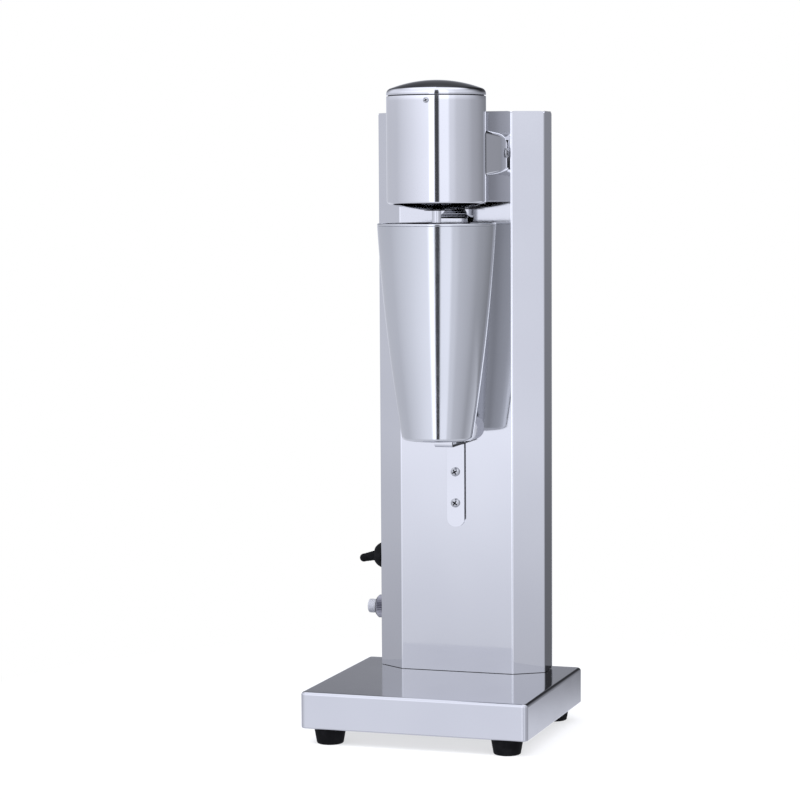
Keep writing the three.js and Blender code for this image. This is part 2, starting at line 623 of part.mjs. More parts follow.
add('motor_stator', stator(), laminations(), 0, AXIS_Y);
add('motor_lower_bridge', bridge(MOTOR.lowBridge), zinc(), 0, AXIS_Y);
add('motor_upper_bridge', bridge(MOTOR.highBridge), zinc(), 0, AXIS_Y);
add('lower_bearing', bearing(MOTOR.lowBridge - 1.3), zinc(), 0, AXIS_Y);
add('upper_bearing', bearing(MOTOR.highBridge - 1.3), zinc(), 0, AXIS_Y);
add('brush_holder_left', brushHolder(-1), blackPlastic(), 0, AXIS_Y);
add('brush_holder_right', brushHolder(1), blackPlastic(), 0, AXIS_Y);
const sealLow = HEAD.lowEdge - HEAD.dish + 0.2;
add('spindle_seal', ring(SPINDLE.radius + 0.5, 7.7, sealLow, sealLow + 3.4, 16), rubber(), 0, AXIS_Y);

const armature = ring(shaftBore, MOTOR.armatureRadius, MOTOR.statorLow, MOTOR.statorHigh, 20);
const commutator = ring(shaftBore, COMMUTATOR.radius, COMMUTATOR.low, COMMUTATOR.high, 16);
add('armature', armature, laminations(), 0, AXIS_Y);
add('commutator', commutator, copper(), 0, AXIS_Y);
add('motor_shaft', rod(MOTOR.shaftRadius, COUPLING_Z + GAP, MOTOR.highBridge + 7, 16), zinc(), 0, AXIS_Y);

function coolingFan() {
  const { fanLow, fanRadius } = MOTOR;
  const hub = ring(shaftBore, 9, fanLow, fanLow + 6, 16);
  const disc = ring(8.5, fanRadius, fanLow, fanLow + 1.5, 20);
  const blades = Array.from({ length: 8 }, (_, i) =>
    block([8, -0.7, fanLow + 1], [fanRadius - 0.5, 0.7, fanLow + 6]).rotateZ(i * QUARTER / 2));
  return join(hub, disc, ...blades);
}

// A dimpled disc at the foot of the spindle, cut with a ring of scallops.
function agitator() {
  const { radius, low, agitatorRadius } = SPINDLE;
  const disc = turned([
    [radius + GAP, low + 1.4], [agitatorRadius, low], [agitatorRadius, low + 1.4], [radius + 2, low + 3],
    [radius + GAP, low + 3], [radius + GAP, low + 1.4],
  ], 24);
  const scallops = Array.from({ length: 6 }, (_, i) =>
    rod(1.8, low - 1, low + 4, 6).translate(agitatorRadius - 3, 0, 0).rotateZ(i * Math.PI / 3));
  return cut(disc, ...scallops);
}

const spindle = turned([
  [0, SPINDLE.low - 2], [SPINDLE.radius + 1, SPINDLE.low - 2], [SPINDLE.radius + 1, SPINDLE.low + 1.4 - GAP],
  [SPINDLE.radius, SPINDLE.low + 1.4 - GAP], [SPINDLE.radius, COUPLING_Z], [0, COUPLING_Z],
], 16);

add('cooling_fan', coolingFan(), blackPlastic(), 0, AXIS_Y);
add('spindle', spindle, polished(), 0, AXIS_Y);
add('agitator', agitator(), polished(), 0, AXIS_Y);

export default mixer;
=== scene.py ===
"""Looks of a single-head milkshake mixer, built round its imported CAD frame.

Shapes are written in millimetres in the row frame, and make() turns them to metres. Sizes that the
CAD fixes come from the nodes' boxes; bends, fillets, recesses and beads are added here.
"""

import math

import bmesh
import bpy
from mathutils import Matrix, Vector
from mathutils.geometry import tessellate_polygon


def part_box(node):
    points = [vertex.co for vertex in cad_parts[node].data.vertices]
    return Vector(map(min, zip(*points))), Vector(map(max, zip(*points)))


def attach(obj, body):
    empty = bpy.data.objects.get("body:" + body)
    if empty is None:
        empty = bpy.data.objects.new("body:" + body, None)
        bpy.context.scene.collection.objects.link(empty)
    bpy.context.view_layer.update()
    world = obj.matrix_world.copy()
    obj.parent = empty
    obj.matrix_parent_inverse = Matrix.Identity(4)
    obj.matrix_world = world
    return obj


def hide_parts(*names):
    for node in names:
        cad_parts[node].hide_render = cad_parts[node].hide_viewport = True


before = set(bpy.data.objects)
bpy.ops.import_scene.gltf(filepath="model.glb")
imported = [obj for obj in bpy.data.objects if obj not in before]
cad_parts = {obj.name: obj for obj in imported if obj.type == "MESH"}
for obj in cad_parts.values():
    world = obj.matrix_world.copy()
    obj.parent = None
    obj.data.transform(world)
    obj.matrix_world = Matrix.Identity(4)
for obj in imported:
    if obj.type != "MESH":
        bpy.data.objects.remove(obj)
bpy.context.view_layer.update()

MM = 0.001
SHEET = 1.5        # folded stainless sheet
THIN = 1.2         # pressed and flat covers
GAP = 0.3          # between pieces that touch
FULL_TURN = 2 * math.pi


def box_mm(node):
    """Lowest and highest corner of a CAD node, in millimetres."""
    low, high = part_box(node)
    return low / MM, high / MM


def middle_of(node):
    low, high = box_mm(node)
    return (low + high) / 2


# ---- outlines ----
def arc(cx, cy, radius, start, end, steps):
    """Points on an arc, in degrees."""
    angles = [math.radians(start + (end - start) * i / steps) for i in range(steps + 1)]
    return [(cx + radius * math.cos(a), cy + radius * math.sin(a)) for a in angles]


def rounded(points, radii, closed=True, steps=6):
    """The outline with its corners replaced by arcs. A radius of 0 keeps a corner sharp."""
    count = len(points)
    radii = radii if isinstance(radii, (list, tuple)) else [radii] * count
    result = []
    for i, (point, radius) in enumerate(zip(points, radii)):
        end_of_path = not closed and i in (0, count - 1)
        here = Vector(point)
        if radius <= 0 or end_of_path:
            result.append(tuple(here))
            continue
        before = Vector(points[i - 1]) - here
        after = Vector(points[(i + 1) % count]) - here
        opening = before.angle(after)
        if opening > math.pi - 0.01:
            result.append(tuple(here))
            continue
        longest = 0.49 * min(before.length, after.length)
        reach = min(radius / math.tan(opening / 2), longest)
        radius = reach * math.tan(opening / 2)
        u, v = before.normalized(), after.normalized()
        centre = here + (u + v).normalized() * (radius / math.sin(opening / 2))
        first, last = here + u * reach - centre, here + v * reach - centre
        begin = math.atan2(first.y, first.x)
        sweep = (math.atan2(last.y, last.x) - begin + math.pi) % FULL_TURN - math.pi
        for k in range(steps + 1):
            a = begin + sweep * k / steps
            result.append((centre.x + radius * math.cos(a), centre.y + radius * math.sin(a)))
    return result


def shifted(path, distance):
    """The open path moved to its left by a distance, with mitred corners."""
    points = [Vector(p) for p in path]
    result = []
    for i, here in enumerate(points):
        first = max(i - 1, 0)
        sides = zip(points[first:i + 2], points[first + 1:i + 2])
        ways = [(b - a).normalized() for a, b in sides if (b - a).length > 1e-9]
        normals = [Vector((-w.y, w.x)) for w in ways]
        middle = sum(normals, Vector((0, 0))).normalized()
        result.append(tuple(here + middle * (distance / max(middle.dot(normals[0]), 0.3))))
    return result


def rectangle(half_x, half_y, radius, steps=8):
    """A rounded rectangle about the origin, always with the same number of points."""
    corners = [(half_x, half_y), (-half_x, half_y), (-half_x, -half_y), (half_x, -half_y)]
    return rounded(corners, max(radius, 0.01), steps=steps)


# ---- solids: each returns (vertices, faces) ----
def turned(profile, segments=96, wave=None):
    """A profile of (radius, height) turned about Z. One that leaves the axis out is closed on itself.

    wave(index, angle) gives extra radius and height, for knurls and scallops.
    """
    vertices, faces, rows = [], [], []
    for index, (radius, height) in enumerate(profile):
        if radius < 1e-6:
            rows.append([len(vertices)])
            vertices.append((0, 0, height))
            continue
        row = []
        for j in range(segments):
            angle = FULL_TURN * j / segments
            more_radius, more_height = wave(index, angle) if wave else (0, 0)
            reach = radius + more_radius
            row.append(len(vertices))
            vertices.append((reach * math.cos(angle), reach * math.sin(angle), height + more_height))
        rows.append(row)
    pairs = list(zip(rows, rows[1:]))
    if len(rows[0]) > 1 and len(rows[-1]) > 1:
        pairs.append((rows[-1], rows[0]))
    for first, second in pairs:
        for j in range(segments):
            k = (j + 1) % segments
            if len(first) == 1 and len(second) == 1:
                break
            if len(first) == 1:
                faces.append((first[0], second[j], second[k]))
            elif len(second) == 1:
                faces.append((first[j], first[k], second[0]))
            else:
                faces.append((first[j], first[k], second[k], second[j]))
    return vertices, faces


def stacked(loops):
    """A solid through loops of equally many 3-D points, with its two ends filled."""
    size = len(loops[0])
    vertices = [point for loop in loops for point in loop]
    faces = [tuple(range(size)), tuple(range((len(loops) - 1) * size, len(loops) * size))]
    for i in range(len(loops) - 1):
        for j in range(size):
            k = (j + 1) % size
            faces.append((i * size + j, i * size + k, (i + 1) * size + k, (i + 1) * size + j))
    return vertices, faces


def prism(outline, low, high):
    """An outline in X and Y, raised along Z."""
    return stacked([[(x, y, z) for x, y in outline] for z in (low, high)])


def prism_x(outline, low, high):
    """An outline in Y and Z, run along X."""
    return stacked([[(x, y, z) for y, z in outline] for x in (low, high)])


def slot_outline(x, y, half_length, half_width, radius):
    """A slot with round ends about a point."""
    corners = [(half_length, half_width), (-half_length, half_width), (-half_length, -half_width),
               (half_length, -half_width)]
    return [(x + px, y + py) for px, py in rounded(corners, radius, steps=4)]


def pierced(outline, holes, low, high):
    """A flat plate in X and Y with holes through it."""
    loops = [outline, *holes]
    flat = [[Vector((x, y, 0)) for x, y in loop] for loop in loops]
    triangles = tessellate_polygon(flat)
    points = [p for loop in loops for p in loop]
    total = len(points)
    vertices = [(x, y, low) for x, y in points] + [(x, y, high) for x, y in points]
    faces = [tuple(t) for t in triangles] + [tuple(i + total for i in t) for t in triangles]
    start = 0
    for loop in loops:
        for j in range(len(loop)):
            a, b = start + j, start + (j + 1) % len(loop)
            faces.append((a, b, b + total, a + total))
        start += len(loop)
    return vertices, faces


def bent_strip(path, half_widths, thickness):
    """A strip that follows a path in its second and third coordinate, its width along the first."""
    other = shifted(path, thickness)
    return stacked([
        [(-half, u, v), (half, u, v), (half, s, t), (-half, s, t)]
        for (u, v), (s, t), half in zip(path, other, half_widths)
    ])


def tidy_mesh(name, solid, place=None):
    """A mesh in metres with merged points and faces turned outwards."""
    vertices, faces = solid
    matrix = Matrix.Scale(MM, 4) @ (place or Matrix.Identity(4))
    mesh = bpy.data.meshes.new(name)
    mesh.from_pydata([tuple(matrix @ Vector(v)) for v in vertices], [], faces)
    work = bmesh.new()
    work.from_mesh(mesh)
    bmesh.ops.remove_doubles(work, verts=work.verts, dist=1e-7)
    bmesh.ops.recalc_face_normals(work, faces=work.faces)
    work.to_mesh(mesh)
    work.free()
    return mesh


def carved(solid, *tools):
    """The solid with the tools cut out of it."""
    objects = []
    for i, part in enumerate((solid, *tools)):
        thing = bpy.data.objects.new(f"carving_{i}", tidy_mesh(f"carving_{i}", part))
        bpy.context.scene.collection.objects.link(thing)
        objects.append(thing)
    for tool in objects[1:]:
        modifier = objects[0].modifiers.new("cut", "BOOLEAN")
        modifier.operation = "DIFFERENCE"
        modifier.solver = "EXACT"
        modifier.object = tool
    graph = bpy.context.evaluated_depsgraph_get()
    result = bpy.data.meshes.new_from_object(objects[0].evaluated_get(graph))
    vertices = [tuple(v.co / MM) for v in result.vertices]
    faces = [tuple(p.vertices) for p in result.polygons]
    for thing in objects:
        bpy.data.objects.remove(thing)
    return vertices, faces


def merged(*solids):
    """Several solids as one list of vertices and faces."""
    vertices, faces = [], []
    for points, polygons in solids:
        start = len(vertices)
        vertices += points
        faces += [tuple(i + start for i in polygon) for polygon in polygons]
    return vertices, faces


def moved(solid, matrix):
    vertices, faces = solid
    return [tuple(matrix @ Vector(v)) for v in vertices], faces


FACING = {
    "up": Matrix.Identity(4),
    "down": Matrix.Rotation(math.pi, 4, "X"),
    "front": Matrix.Rotation(math.pi / 2, 4, "X"),
    "back": Matrix.Rotation(-math.pi / 2, 4, "X"),
    "right": Matrix.Rotation(math.pi / 2, 4, "Y"),
    "left": Matrix.Rotation(-math.pi / 2, 4, "Y"),
}


def at(x, y, z, facing="up", spin=0.0):
    """Places a shape whose own +Z faces the named way."""
    return Matrix.Translation((x, y, z)) @ FACING[facing] @ Matrix.Rotation(math.radians(spin), 4, "Z")


# ---- materials ----
class Look:
    """A small wrapper round a material's node tree."""

    def __init__(self, name):
        self.material = bpy.data.materials.new(name)
        self.material.use_nodes = True
        self.tree = self.material.node_tree
        self.shader = self.tree.nodes["Principled BSDF"]
        where = self.node("ShaderNodeTexCoord")
        self.place = where.outputs["Object"]
        self.facing = where.outputs["Normal"]

    def node(self, kind, **values):
        made = self.tree.nodes.new(kind)
        for key, value in values.items():
            setattr(made, key, value)
        return made

    def link(self, source, target):
        self.tree.links.new(source, target)

    def noise(self, scale, stretch=(1, 1, 1), detail=3.0, roughness=0.5):
        """Noise in the row frame: scale is per metre, and stretch multiplies it along each axis."""
        mapping = self.node("ShaderNodeMapping")
        mapping.inputs["Scale"].default_value = stretch
        self.link(self.place, mapping.inputs["Vector"])
        noise = self.node("ShaderNodeTexNoise")
        noise.inputs["Scale"].default_value = scale
        noise.inputs["Detail"].default_value = detail
        noise.inputs["Roughness"].default_value = roughness
        self.link(mapping.outputs["Vector"], noise.inputs["Vector"])
        return noise.outputs["Fac"]

    def axis(self, vector, letter):
        split = self.node("ShaderNodeSeparateXYZ")
        self.link(vector, split.inputs[0])
        return split.outputs[letter]

    def range(self, value, low, high, from_low=0.3, from_high=0.7):
        mapped = self.node("ShaderNodeMapRange")
        mapped.inputs["From Min"].default_value = from_low
        mapped.inputs["From Max"].default_value = from_high
        mapped.inputs["To Min"].default_value = low
        mapped.inputs["To Max"].default_value = high
        self.link(value, mapped.inputs["Value"])
        return mapped.outputs["Result"]

    def math(self, operation, a, b):
        made = self.node("ShaderNodeMath", operation=operation)
        for socket, value in zip(made.inputs, (a, b)):
            if isinstance(value, (int, float)):
                socket.default_value = value
            else:
                self.link(value, socket)
        return made.outputs[0]

    def blend(self, factor, first, second):
        mix = self.node("ShaderNodeMix", data_type="RGBA")
        self.link(factor, mix.inputs["Factor"])
        for socket, value in ((mix.inputs[6], first), (mix.inputs[7], second)):
            if isinstance(value, (tuple, list)):
                socket.default_value = (*value, 1)
            else:
                self.link(value, socket)
        return mix.outputs[2]

    def bumps(self, *layers):
        """Each layer is (height, distance in metres)."""
        normal = None
        for height, distance in layers:
            bump = self.node("ShaderNodeBump")
            bump.inputs["Strength"].default_value = 1.0
            bump.inputs["Distance"].default_value = distance
            self.link(height, bump.inputs["Height"])
            if normal is not None:
                self.link(normal, bump.inputs["Normal"])
            normal = bump.outputs["Normal"]
        self.link(normal, self.shader.inputs["Normal"])


STEEL_TINT = (0.62, 0.625, 0.645)
STEEL_DEEP = (0.58, 0.585, 0.61)
DAYLIGHT = (0.968, 0.992, 1.108)


def painted_fold_highlight_and_wall_shade(look):
    """Painted light for the folded column: a painted highlight along its front folds, and painted shade down
    its side walls that deepens towards the bottom.
    """
    turn = look.math("ABSOLUTE", look.axis(look.facing, "X"), 0)
    ahead = look.range(look.axis(look.facing, "Y"), 1, 0, -0.80, -0.75)
    fold = look.math("MULTIPLY", look.range(turn, 0, 1, 0.03, 0.12), look.range(turn, 1, 0, 0.44, 0.53))
    # Painted highlight: the colour is lifted by up to 0.30 on the front folds.
    painted_highlight = look.math("ADD", look.math("MULTIPLY", look.math("MULTIPLY", fold, ahead), 0.30), 1)
    # Painted shade down the side walls: about half darker low down, easing off higher up.
    wall = look.range(turn, 0, 1, 0.80, 0.97)
    wall_shade_by_height = look.range(look.axis(look.place, "Z"), 0.52, -0.08, 0.14, 0.42)
    return look.math("MULTIPLY", painted_highlight, look.math("SUBTRACT", 1, look.math("MULTIPLY", wall, wall_shade_by_height)))


def steel(name, roughness, spread, grain, grain_depth,
          tints=(STEEL_TINT, STEEL_DEEP), ripple=1.5e-4, fade=None):
    """Stainless steel with rolling or turning grain, faint smudges and a slight ripple in the sheet.

    fade is (low, high, tone), for the folded column: painted shade that scales the colour by the tone below
    low, rising to 1 from high upwards; it also brings in the painted fold highlight and the painted side-wall
    shade.
    """
    look = Look(name)
    shader = look.shader
    shader.inputs["Metallic"].default_value = 1.0
    cloud = look.noise(9, detail=2)
    smudge = look.noise(38, detail=5, roughness=0.62)
    lines = look.noise(1, stretch=grain, detail=2)
    colour = look.blend(look.range(cloud, 0, 1), *tints)
    # Painted shade towards the column's foot, times the painted fold highlight and side-wall shade.
    if fade:
        low, high, tone = fade
        rise = look.range(look.axis(look.place, "Z"), tone, 1.0, low, high)
        scaled = look.node("ShaderNodeVectorMath", operation="SCALE")
        look.link(colour, scaled.inputs[0])
        look.link(look.math("MULTIPLY", rise, painted_fold_highlight_and_wall_shade(look)), scaled.inputs["Scale"])
        colour = scaled.outputs[0]
    look.link(colour, shader.inputs["Base Color"])
    clean = look.range(smudge, roughness, roughness + spread, 0.42, 0.74)
    streaks = look.range(lines, -0.25 * spread, 0.25 * spread)
    look.link(look.math("ADD", clean, streaks), shader.inputs["Roughness"])
    look.bumps((look.noise(7, detail=1), ripple), (lines, grain_depth))
    return look.material


def zinc_plate(name, tint, other, roughness):
    """Plated or bare metal with a faint spangle."""
    look = Look(name)
    look.shader.inputs["Metallic"].default_value = 1.0
    spangle = look.node("ShaderNodeTexVoronoi")
    spangle.inputs["Scale"].default_value = 260
    look.link(look.place, spangle.inputs["Vector"])
    cloud = look.noise(70, detail=4)
    look.link(look.blend(look.range(cloud, 0, 1), tint, other), look.shader.inputs["Base Color"])
    look.link(look.range(spangle.outputs["Distance"], roughness - 0.06, roughness + 0.1, 0, 0.8),
              look.shader.inputs["Roughness"])
    look.bumps((look.noise(900, detail=3), 4e-6))
    return look.material


def moulded(name, tint, worn, roughness, pebble, depth, shine=0.5):
    """Rubber or plastic: a fine moulded texture, paler where it is dusty or handled."""
    look = Look(name)
    look.shader.inputs["Specular IOR Level"].default_value = shine
    dust = look.noise(120, detail=6, roughness=0.65)
    grain = look.noise(pebble, detail=3)
    look.link(look.blend(look.range(dust, 0, 1, 0.45, 0.8), tint, worn), look.shader.inputs["Base Color"])
    rough = look.range(dust, roughness - 0.08, roughness + 0.12)
    fine = look.range(grain, -0.04, 0.04)
    look.link(look.math("ADD", rough, fine), look.shader.inputs["Roughness"])
    look.bumps((look.noise(60, detail=2), depth), (grain, depth * 0.6))
    return look.material


def lamination_stack(name):
    """Stacked motor iron: thin dark lines between bright sheets."""
    look = Look(name)
    look.shader.inputs["Metallic"].default_value = 0.9
    wave = look.node("ShaderNodeTexWave", wave_type="BANDS", bands_direction="Z")
    wave.inputs["Scale"].default_value = 320
    look.link(look.place, wave.inputs["Vector"])
    stack = look.range(wave.outputs["Fac"], 0, 1, 0.15, 0.6)
    look.link(look.blend(stack, (0.05, 0.045, 0.04), (0.34, 0.34, 0.35)), look.shader.inputs["Base Color"])
    look.link(look.range(look.noise(200, detail=4), 0.35, 0.6), look.shader.inputs["Roughness"])
    look.bumps((wave.outputs["Fac"], 5e-5))
    return look.material


SHEET_GRAIN = (2200, 2200, 14)      # rolling lines that run up and down
FLAT_GRAIN = (14, 2200, 2200)       # lines that run from side to side
TURNED_GRAIN = (22, 22, 2600)       # lines that run round a vertical axis

# The column's colour carries painted light: painted shade towards its foot, a painted highlight along the
# front folds and painted shade down the side walls.
polished = steel("polished_column_steel_painted_shading", 0.055, 0.05, SHEET_GRAIN, 1.2e-6, fade=(0.05, 0.22, 0.71))
pan_steel = steel("polished_pan_steel", 0.075, 0.06, FLAT_GRAIN, 1.6e-6,
                  tints=((0.515, 0.52, 0.54), (0.48, 0.485, 0.51)))
head_steel = steel("polished_head_steel", 0.05, 0.035, TURNED_GRAIN, 1.0e-6, ripple=4e-5)
cup_steel = steel("satin_cup_steel", 0.085, 0.04, TURNED_GRAIN, 3.5e-6, ripple=6e-5,
                  tints=((0.545, 0.555, 0.575), (0.515, 0.525, 0.545)))
panel_steel = steel("satin_panel_steel", 0.26, 0.08, FLAT_GRAIN, 5e-6)
fitting_steel = steel("polished_fitting_steel", 0.07, 0.06, (900, 900, 900), 1.5e-6, ripple=2e-5)
screw_steel = steel("screw_steel", 0.14, 0.08, (900, 900, 900), 2e-6, ripple=1e-5,
                    tints=((0.44, 0.445, 0.46), (0.38, 0.385, 0.40)))
# A near-black metal with a faint spangle that stands in for the shade in screw recesses and in the cap's
# seam: painted shade.
painted_shade_metal = zinc_plate("painted_shade_in_recesses", (0.045, 0.045, 0.05), (0.02, 0.02, 0.022), 0.45)
zinc = zinc_plate("zinc_plate", (0.50, 0.51, 0.53), (0.40, 0.41, 0.44), 0.3)
ring_metal = zinc_plate("knurled_ring_metal", (0.27, 0.27, 0.30), (0.19, 0.19, 0.215), 0.3)
rubber = moulded("black_rubber", (0.004, 0.004, 0.0045), (0.011, 0.011, 0.012), 0.62, 1500, 1.2e-5, 0.05)
black_plastic = moulded("black_plastic", (0.012, 0.012, 0.014), (0.03, 0.03, 0.03), 0.45, 900, 1e-5)
grey_plastic = moulded("grey_plastic", (0.33, 0.335, 0.36), (0.27, 0.275, 0.30), 0.38, 1200, 6e-6, 0.35)
iron = lamination_stack("motor_laminations")
copper = zinc_plate("turned_copper", (0.72, 0.33, 0.16), (0.5, 0.22, 0.10), 0.3)


# ---- pieces ----
def make(name, solid, material, body, nodes,
         place=None, bevel=0.0, segments=3, sharp=38.0, shaded_faces=None):
    """Builds a piece that stands for CAD nodes, rides on a body and takes the material it is given.

    The last argument picks, from the radius and height of a face's middle in the shape's own frame, the faces
    in recesses and creases that take a near-black metal as painted shade.
    """
    mesh = tidy_mesh(name, solid, place)
    mesh.shade_smooth()
    mesh.materials.append(material)
    # Faces in recesses and creases get a second material, which is painted shade.
    if shaded_faces:
        mesh.materials.append(painted_shade_metal)
        to_own = (place or Matrix.Identity(4)).inverted()
        for face in mesh.polygons:
            middle = to_own @ (face.center / MM)
            face.material_index = int(shaded_faces(math.hypot(middle.x, middle.y), middle.z))
    piece = bpy.data.objects.new(name, mesh)
    bpy.context.scene.collection.objects.link(piece)
    if bevel:
        rounding = piece.modifiers.new("edge", "BEVEL")
        rounding.width = bevel * MM
        rounding.segments = segments
        rounding.limit_method = "ANGLE"
        rounding.angle_limit = math.radians(sharp)
    else:
        mesh.set_sharp_from_angle(angle=math.radians(sharp))
    weighted = piece.modifiers.new("normals", "WEIGHTED_NORMAL")
    weighted.keep_sharp = True
    weighted.weight = 90
    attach(piece, body)
    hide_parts(*nodes)
    return piece


# ---- base ----
pan_low, pan_high = box_mm("base_pan")
pan_half = Vector((pan_high.x, pan_high.y))
PAN_CORNER = 4.2
PAN_EDGE = 2.4
PAN_HEM = 1.2


def pan_loop(inset, z):
    plan = rectangle(pan_half.x - inset, pan_half.y - inset, PAN_CORNER - inset, 10)
    return [(x, y, z) for x, y in plan]


def base_pan():
    """A deep-drawn pan: rounded top edge, tight corners and a slightly turned lower edge."""
    middle = 40.0     # the top's flat middle starts this far in
    edge = [(PAN_EDGE - x, pan_high.z - PAN_EDGE + y) for x, y in arc(0, 0, PAN_EDGE, 90, 0, 8)]
    hem = [(PAN_HEM - x, pan_low.z + PAN_HEM + y) for x, y in arc(0, 0, PAN_HEM, 0, -90, 4)]
    inner = [(SHEET, pan_low.z), (SHEET, pan_high.z - SHEET), (middle, pan_high.z - SHEET)]
    profile = [(middle, pan_high.z), (8, pan_high.z), *edge, *hem, *inner]
    return stacked([pan_loop(inset, z) for inset, z in profile])


make("drawn_base_pan", base_pan(), pan_steel, "stand", ["base_pan"], sharp=60)

plate_low, plate_high = box_mm("base_bottom_plate")
corners = [(end, side) for end in ("front", "rear") for side in ("left", "right")]
vents = [slot_outline(x, y, 9, 1.5, 1.4) for y in (-16, -8, 0, 8, 16) for x in (-24, 0, 24)]
FOOT_HOLE, FOOT_RECESS, RECESS_TOP = 2.4, 5.2, 5.0
foot_spots = [middle_of(f"foot_screw_{end}_{side}") for end, side in corners]
foot_holes = [arc(spot.x, spot.y, FOOT_HOLE, 0, 345, 23) for spot in foot_spots]
plate_plan = rectangle(plate_high.x, plate_high.y, 2.4, 5)
make("vented_bottom_plate", pierced(plate_plan, vents + foot_holes, plate_low.z, plate_high.z), zinc,
     "stand", ["base_bottom_plate"], bevel=0.25, segments=2)

foot_profile = rounded([
    (FOOT_HOLE, pan_low.z), (FOOT_HOLE, RECESS_TOP), (FOOT_RECESS, RECESS_TOP), (FOOT_RECESS, 0),
    (9.7, 0), (11.5, 10.2), (11.8, 10.6), (11.8, pan_low.z),
], [0, 0.3, 0.5, 0.8, 1.3, 0.6, 0.5, 0.3], steps=5)


def cross_recess(reach, width, top, depth):
    """The tapered cross of a screwdriver recess, as a cutter."""
    def cross(a, w, z):
        quarter = [(a, -w), (a, w), (w, w)]
        turns = [Matrix.Rotation(math.radians(90 * k), 2) for k in range(4)]
        return [(*(turn @ Vector(p)), z) for turn in turns for p in quarter]
    return stacked([
        cross(reach * 1.05, width * 1.05, top + 0.4),
        cross(reach, width, top),
        cross(reach * 0.6, width * 0.7, top - depth),
    ])


def in_recess(reach, height):
    """Tells the faces of a screw's cross recess, which take painted shade, from the rest of its head."""
    return lambda radius, z: radius < 0.62 * reach and 0.1 * height < z < 0.9 * height


def pan_head_screw(radius, height, shank, length):
    """A pan-head screw with a cross recess; its seat is at z = 0."""
    crown = height * 1.06
    head = rounded([
        (0, -length), (shank, -length), (shank, GAP), (radius, GAP), (radius, height * 0.55),
        (radius * 0.6, height), (0, crown),
    ], [0, 0.2, 0, 0.15, radius * 0.22, radius * 0.5, 0], closed=False, steps=5)
    return carved(turned(head, 40), cross_recess(radius * 0.62, radius * 0.15, crown, height * 0.9))


foot_screw = pan_head_screw(4.2, 2.5, 2.1, 7.5)
for end, side in corners:
    spot = middle_of(f"foot_{end}_{side}")
    make(f"rubber_foot_{end}_{side}", turned(foot_profile, 72), rubber, "stand",
         [f"foot_{end}_{side}"], place=at(spot.x, spot.y, 0))
    make(f"foot_screw_head_{end}_{side}", foot_screw, zinc, "stand",
         [f"foot_screw_{end}_{side}"], place=at(spot.x, spot.y, RECESS_TOP, "down", 20),
         sharp=30, shaded_faces=in_recess(4.2, 2.5))

# ---- column ----
shell_low, shell_high = box_mm("column_shell")
panel_low, panel_high = box_mm("column_back_panel")
FRONT_HALF = 43.5    # half the width of the front face
CHAMFER = 14.2       # depth of the chamfers from front to rear
FLANGE = 9.0
FOLD = 1.6           # outside bend radii
FRONT_FOLD = 2.5
COLLAR_BORE = 5.9
NUT_BORE = 7.5
face_y = shell_low.y
chamfer_y = face_y + CHAMFER
side_x = shell_high.x


def column_path():
    """The outside of the folded sheet from its left rear flange round the front to its right one."""
    half = [
        (side_x - FLANGE, shell_high.y), (side_x, shell_high.y), (side_x, chamfer_y), (FRONT_HALF, face_y),
    ]
    corners = [(-x, y) for x, y in half] + half[::-1]
    radii = [0, FOLD, FOLD, FRONT_FOLD]
    return rounded(corners, radii + radii[::-1], closed=False, steps=6)


def column_shell():
    """The folded sheet, its top edge dipping a little at each of the four long folds."""
    path = [Vector(p) for p in column_path()]
    inside = [Vector(p) for p in shifted(path, SHEET)]
    corners = ((FRONT_HALF, face_y), (side_x, chamfer_y))
    bends = [Vector((side * x, y)) for x, y in corners for side in (-1, 1)]
    relief, depth, width = 2.2, 0.6, 0.7
    fine = []
    for (a, b), (c, d) in zip(zip(path, path[1:]), zip(inside, inside[1:])):
        length = (b - a).length
        pieces = max(1, int(length / 0.6)) if length < 30 else 40
        spread = [0.5 - 0.5 * math.cos(math.pi * k / pieces) for k in range(pieces)]
        fine += [(a.lerp(b, t), c.lerp(d, t)) for t in spread]
    fine.append((path[-1], inside[-1]))
    sections = []
    for out, back in fine:
        away = min(max(min((out - bend).length for bend in bends) - width, 0.0), relief)
        top = shell_high.z - depth * (relief - math.sqrt(relief ** 2 - (relief - away) ** 2))
        sections.append([(*out, shell_low.z), (*out, top), (*back, top), (*back, shell_low.z)])
    return stacked(sections)


def round_cutter(radius, length, place):
    return moved(turned([(0, -length), (radius, -length), (radius, length), (0, length)], 48), place)


def pierced_column():
    """The folded sheet with holes for the two switches' bushes, the motor lead and the ledge's screws."""
    cutters = []
    for radius, node in ((COLLAR_BORE, "toggle_boot_collar"), (NUT_BORE, "breaker_ring")):
        spot = middle_of(node)
        cutters.append(round_cutter(radius, 5, at(-side_x, spot.y, spot.z, "left")))
    for radius, node in ((5.0, "motor_lead_grommet"), (2.3, "ledge_screw_upper"), (2.3, "ledge_screw_lower")):
        cutters.append(round_cutter(radius, 5, at(0, face_y, middle_of(node).z, "front")))
    return carved(column_shell(), *cutters)


make("folded_column", pierced_column(), polished, "stand", ["column_shell"],
     bevel=0.3, segments=2)

cap_low, cap_high = box_mm("column_top_cap")
cap_path = [(FRONT_HALF - 0.6, cap_low.y), (cap_high.x, chamfer_y + 0.6), (cap_high.x, cap_high.y)]
cap_plan = rounded(cap_path + [(-x, y) for x, y in cap_path[::-1]], 1.2, steps=5)
make("column_lid", prism(cap_plan, cap_low.z, cap_high.z), polished, "stand",
     ["column_top_cap"], bevel=0.3)

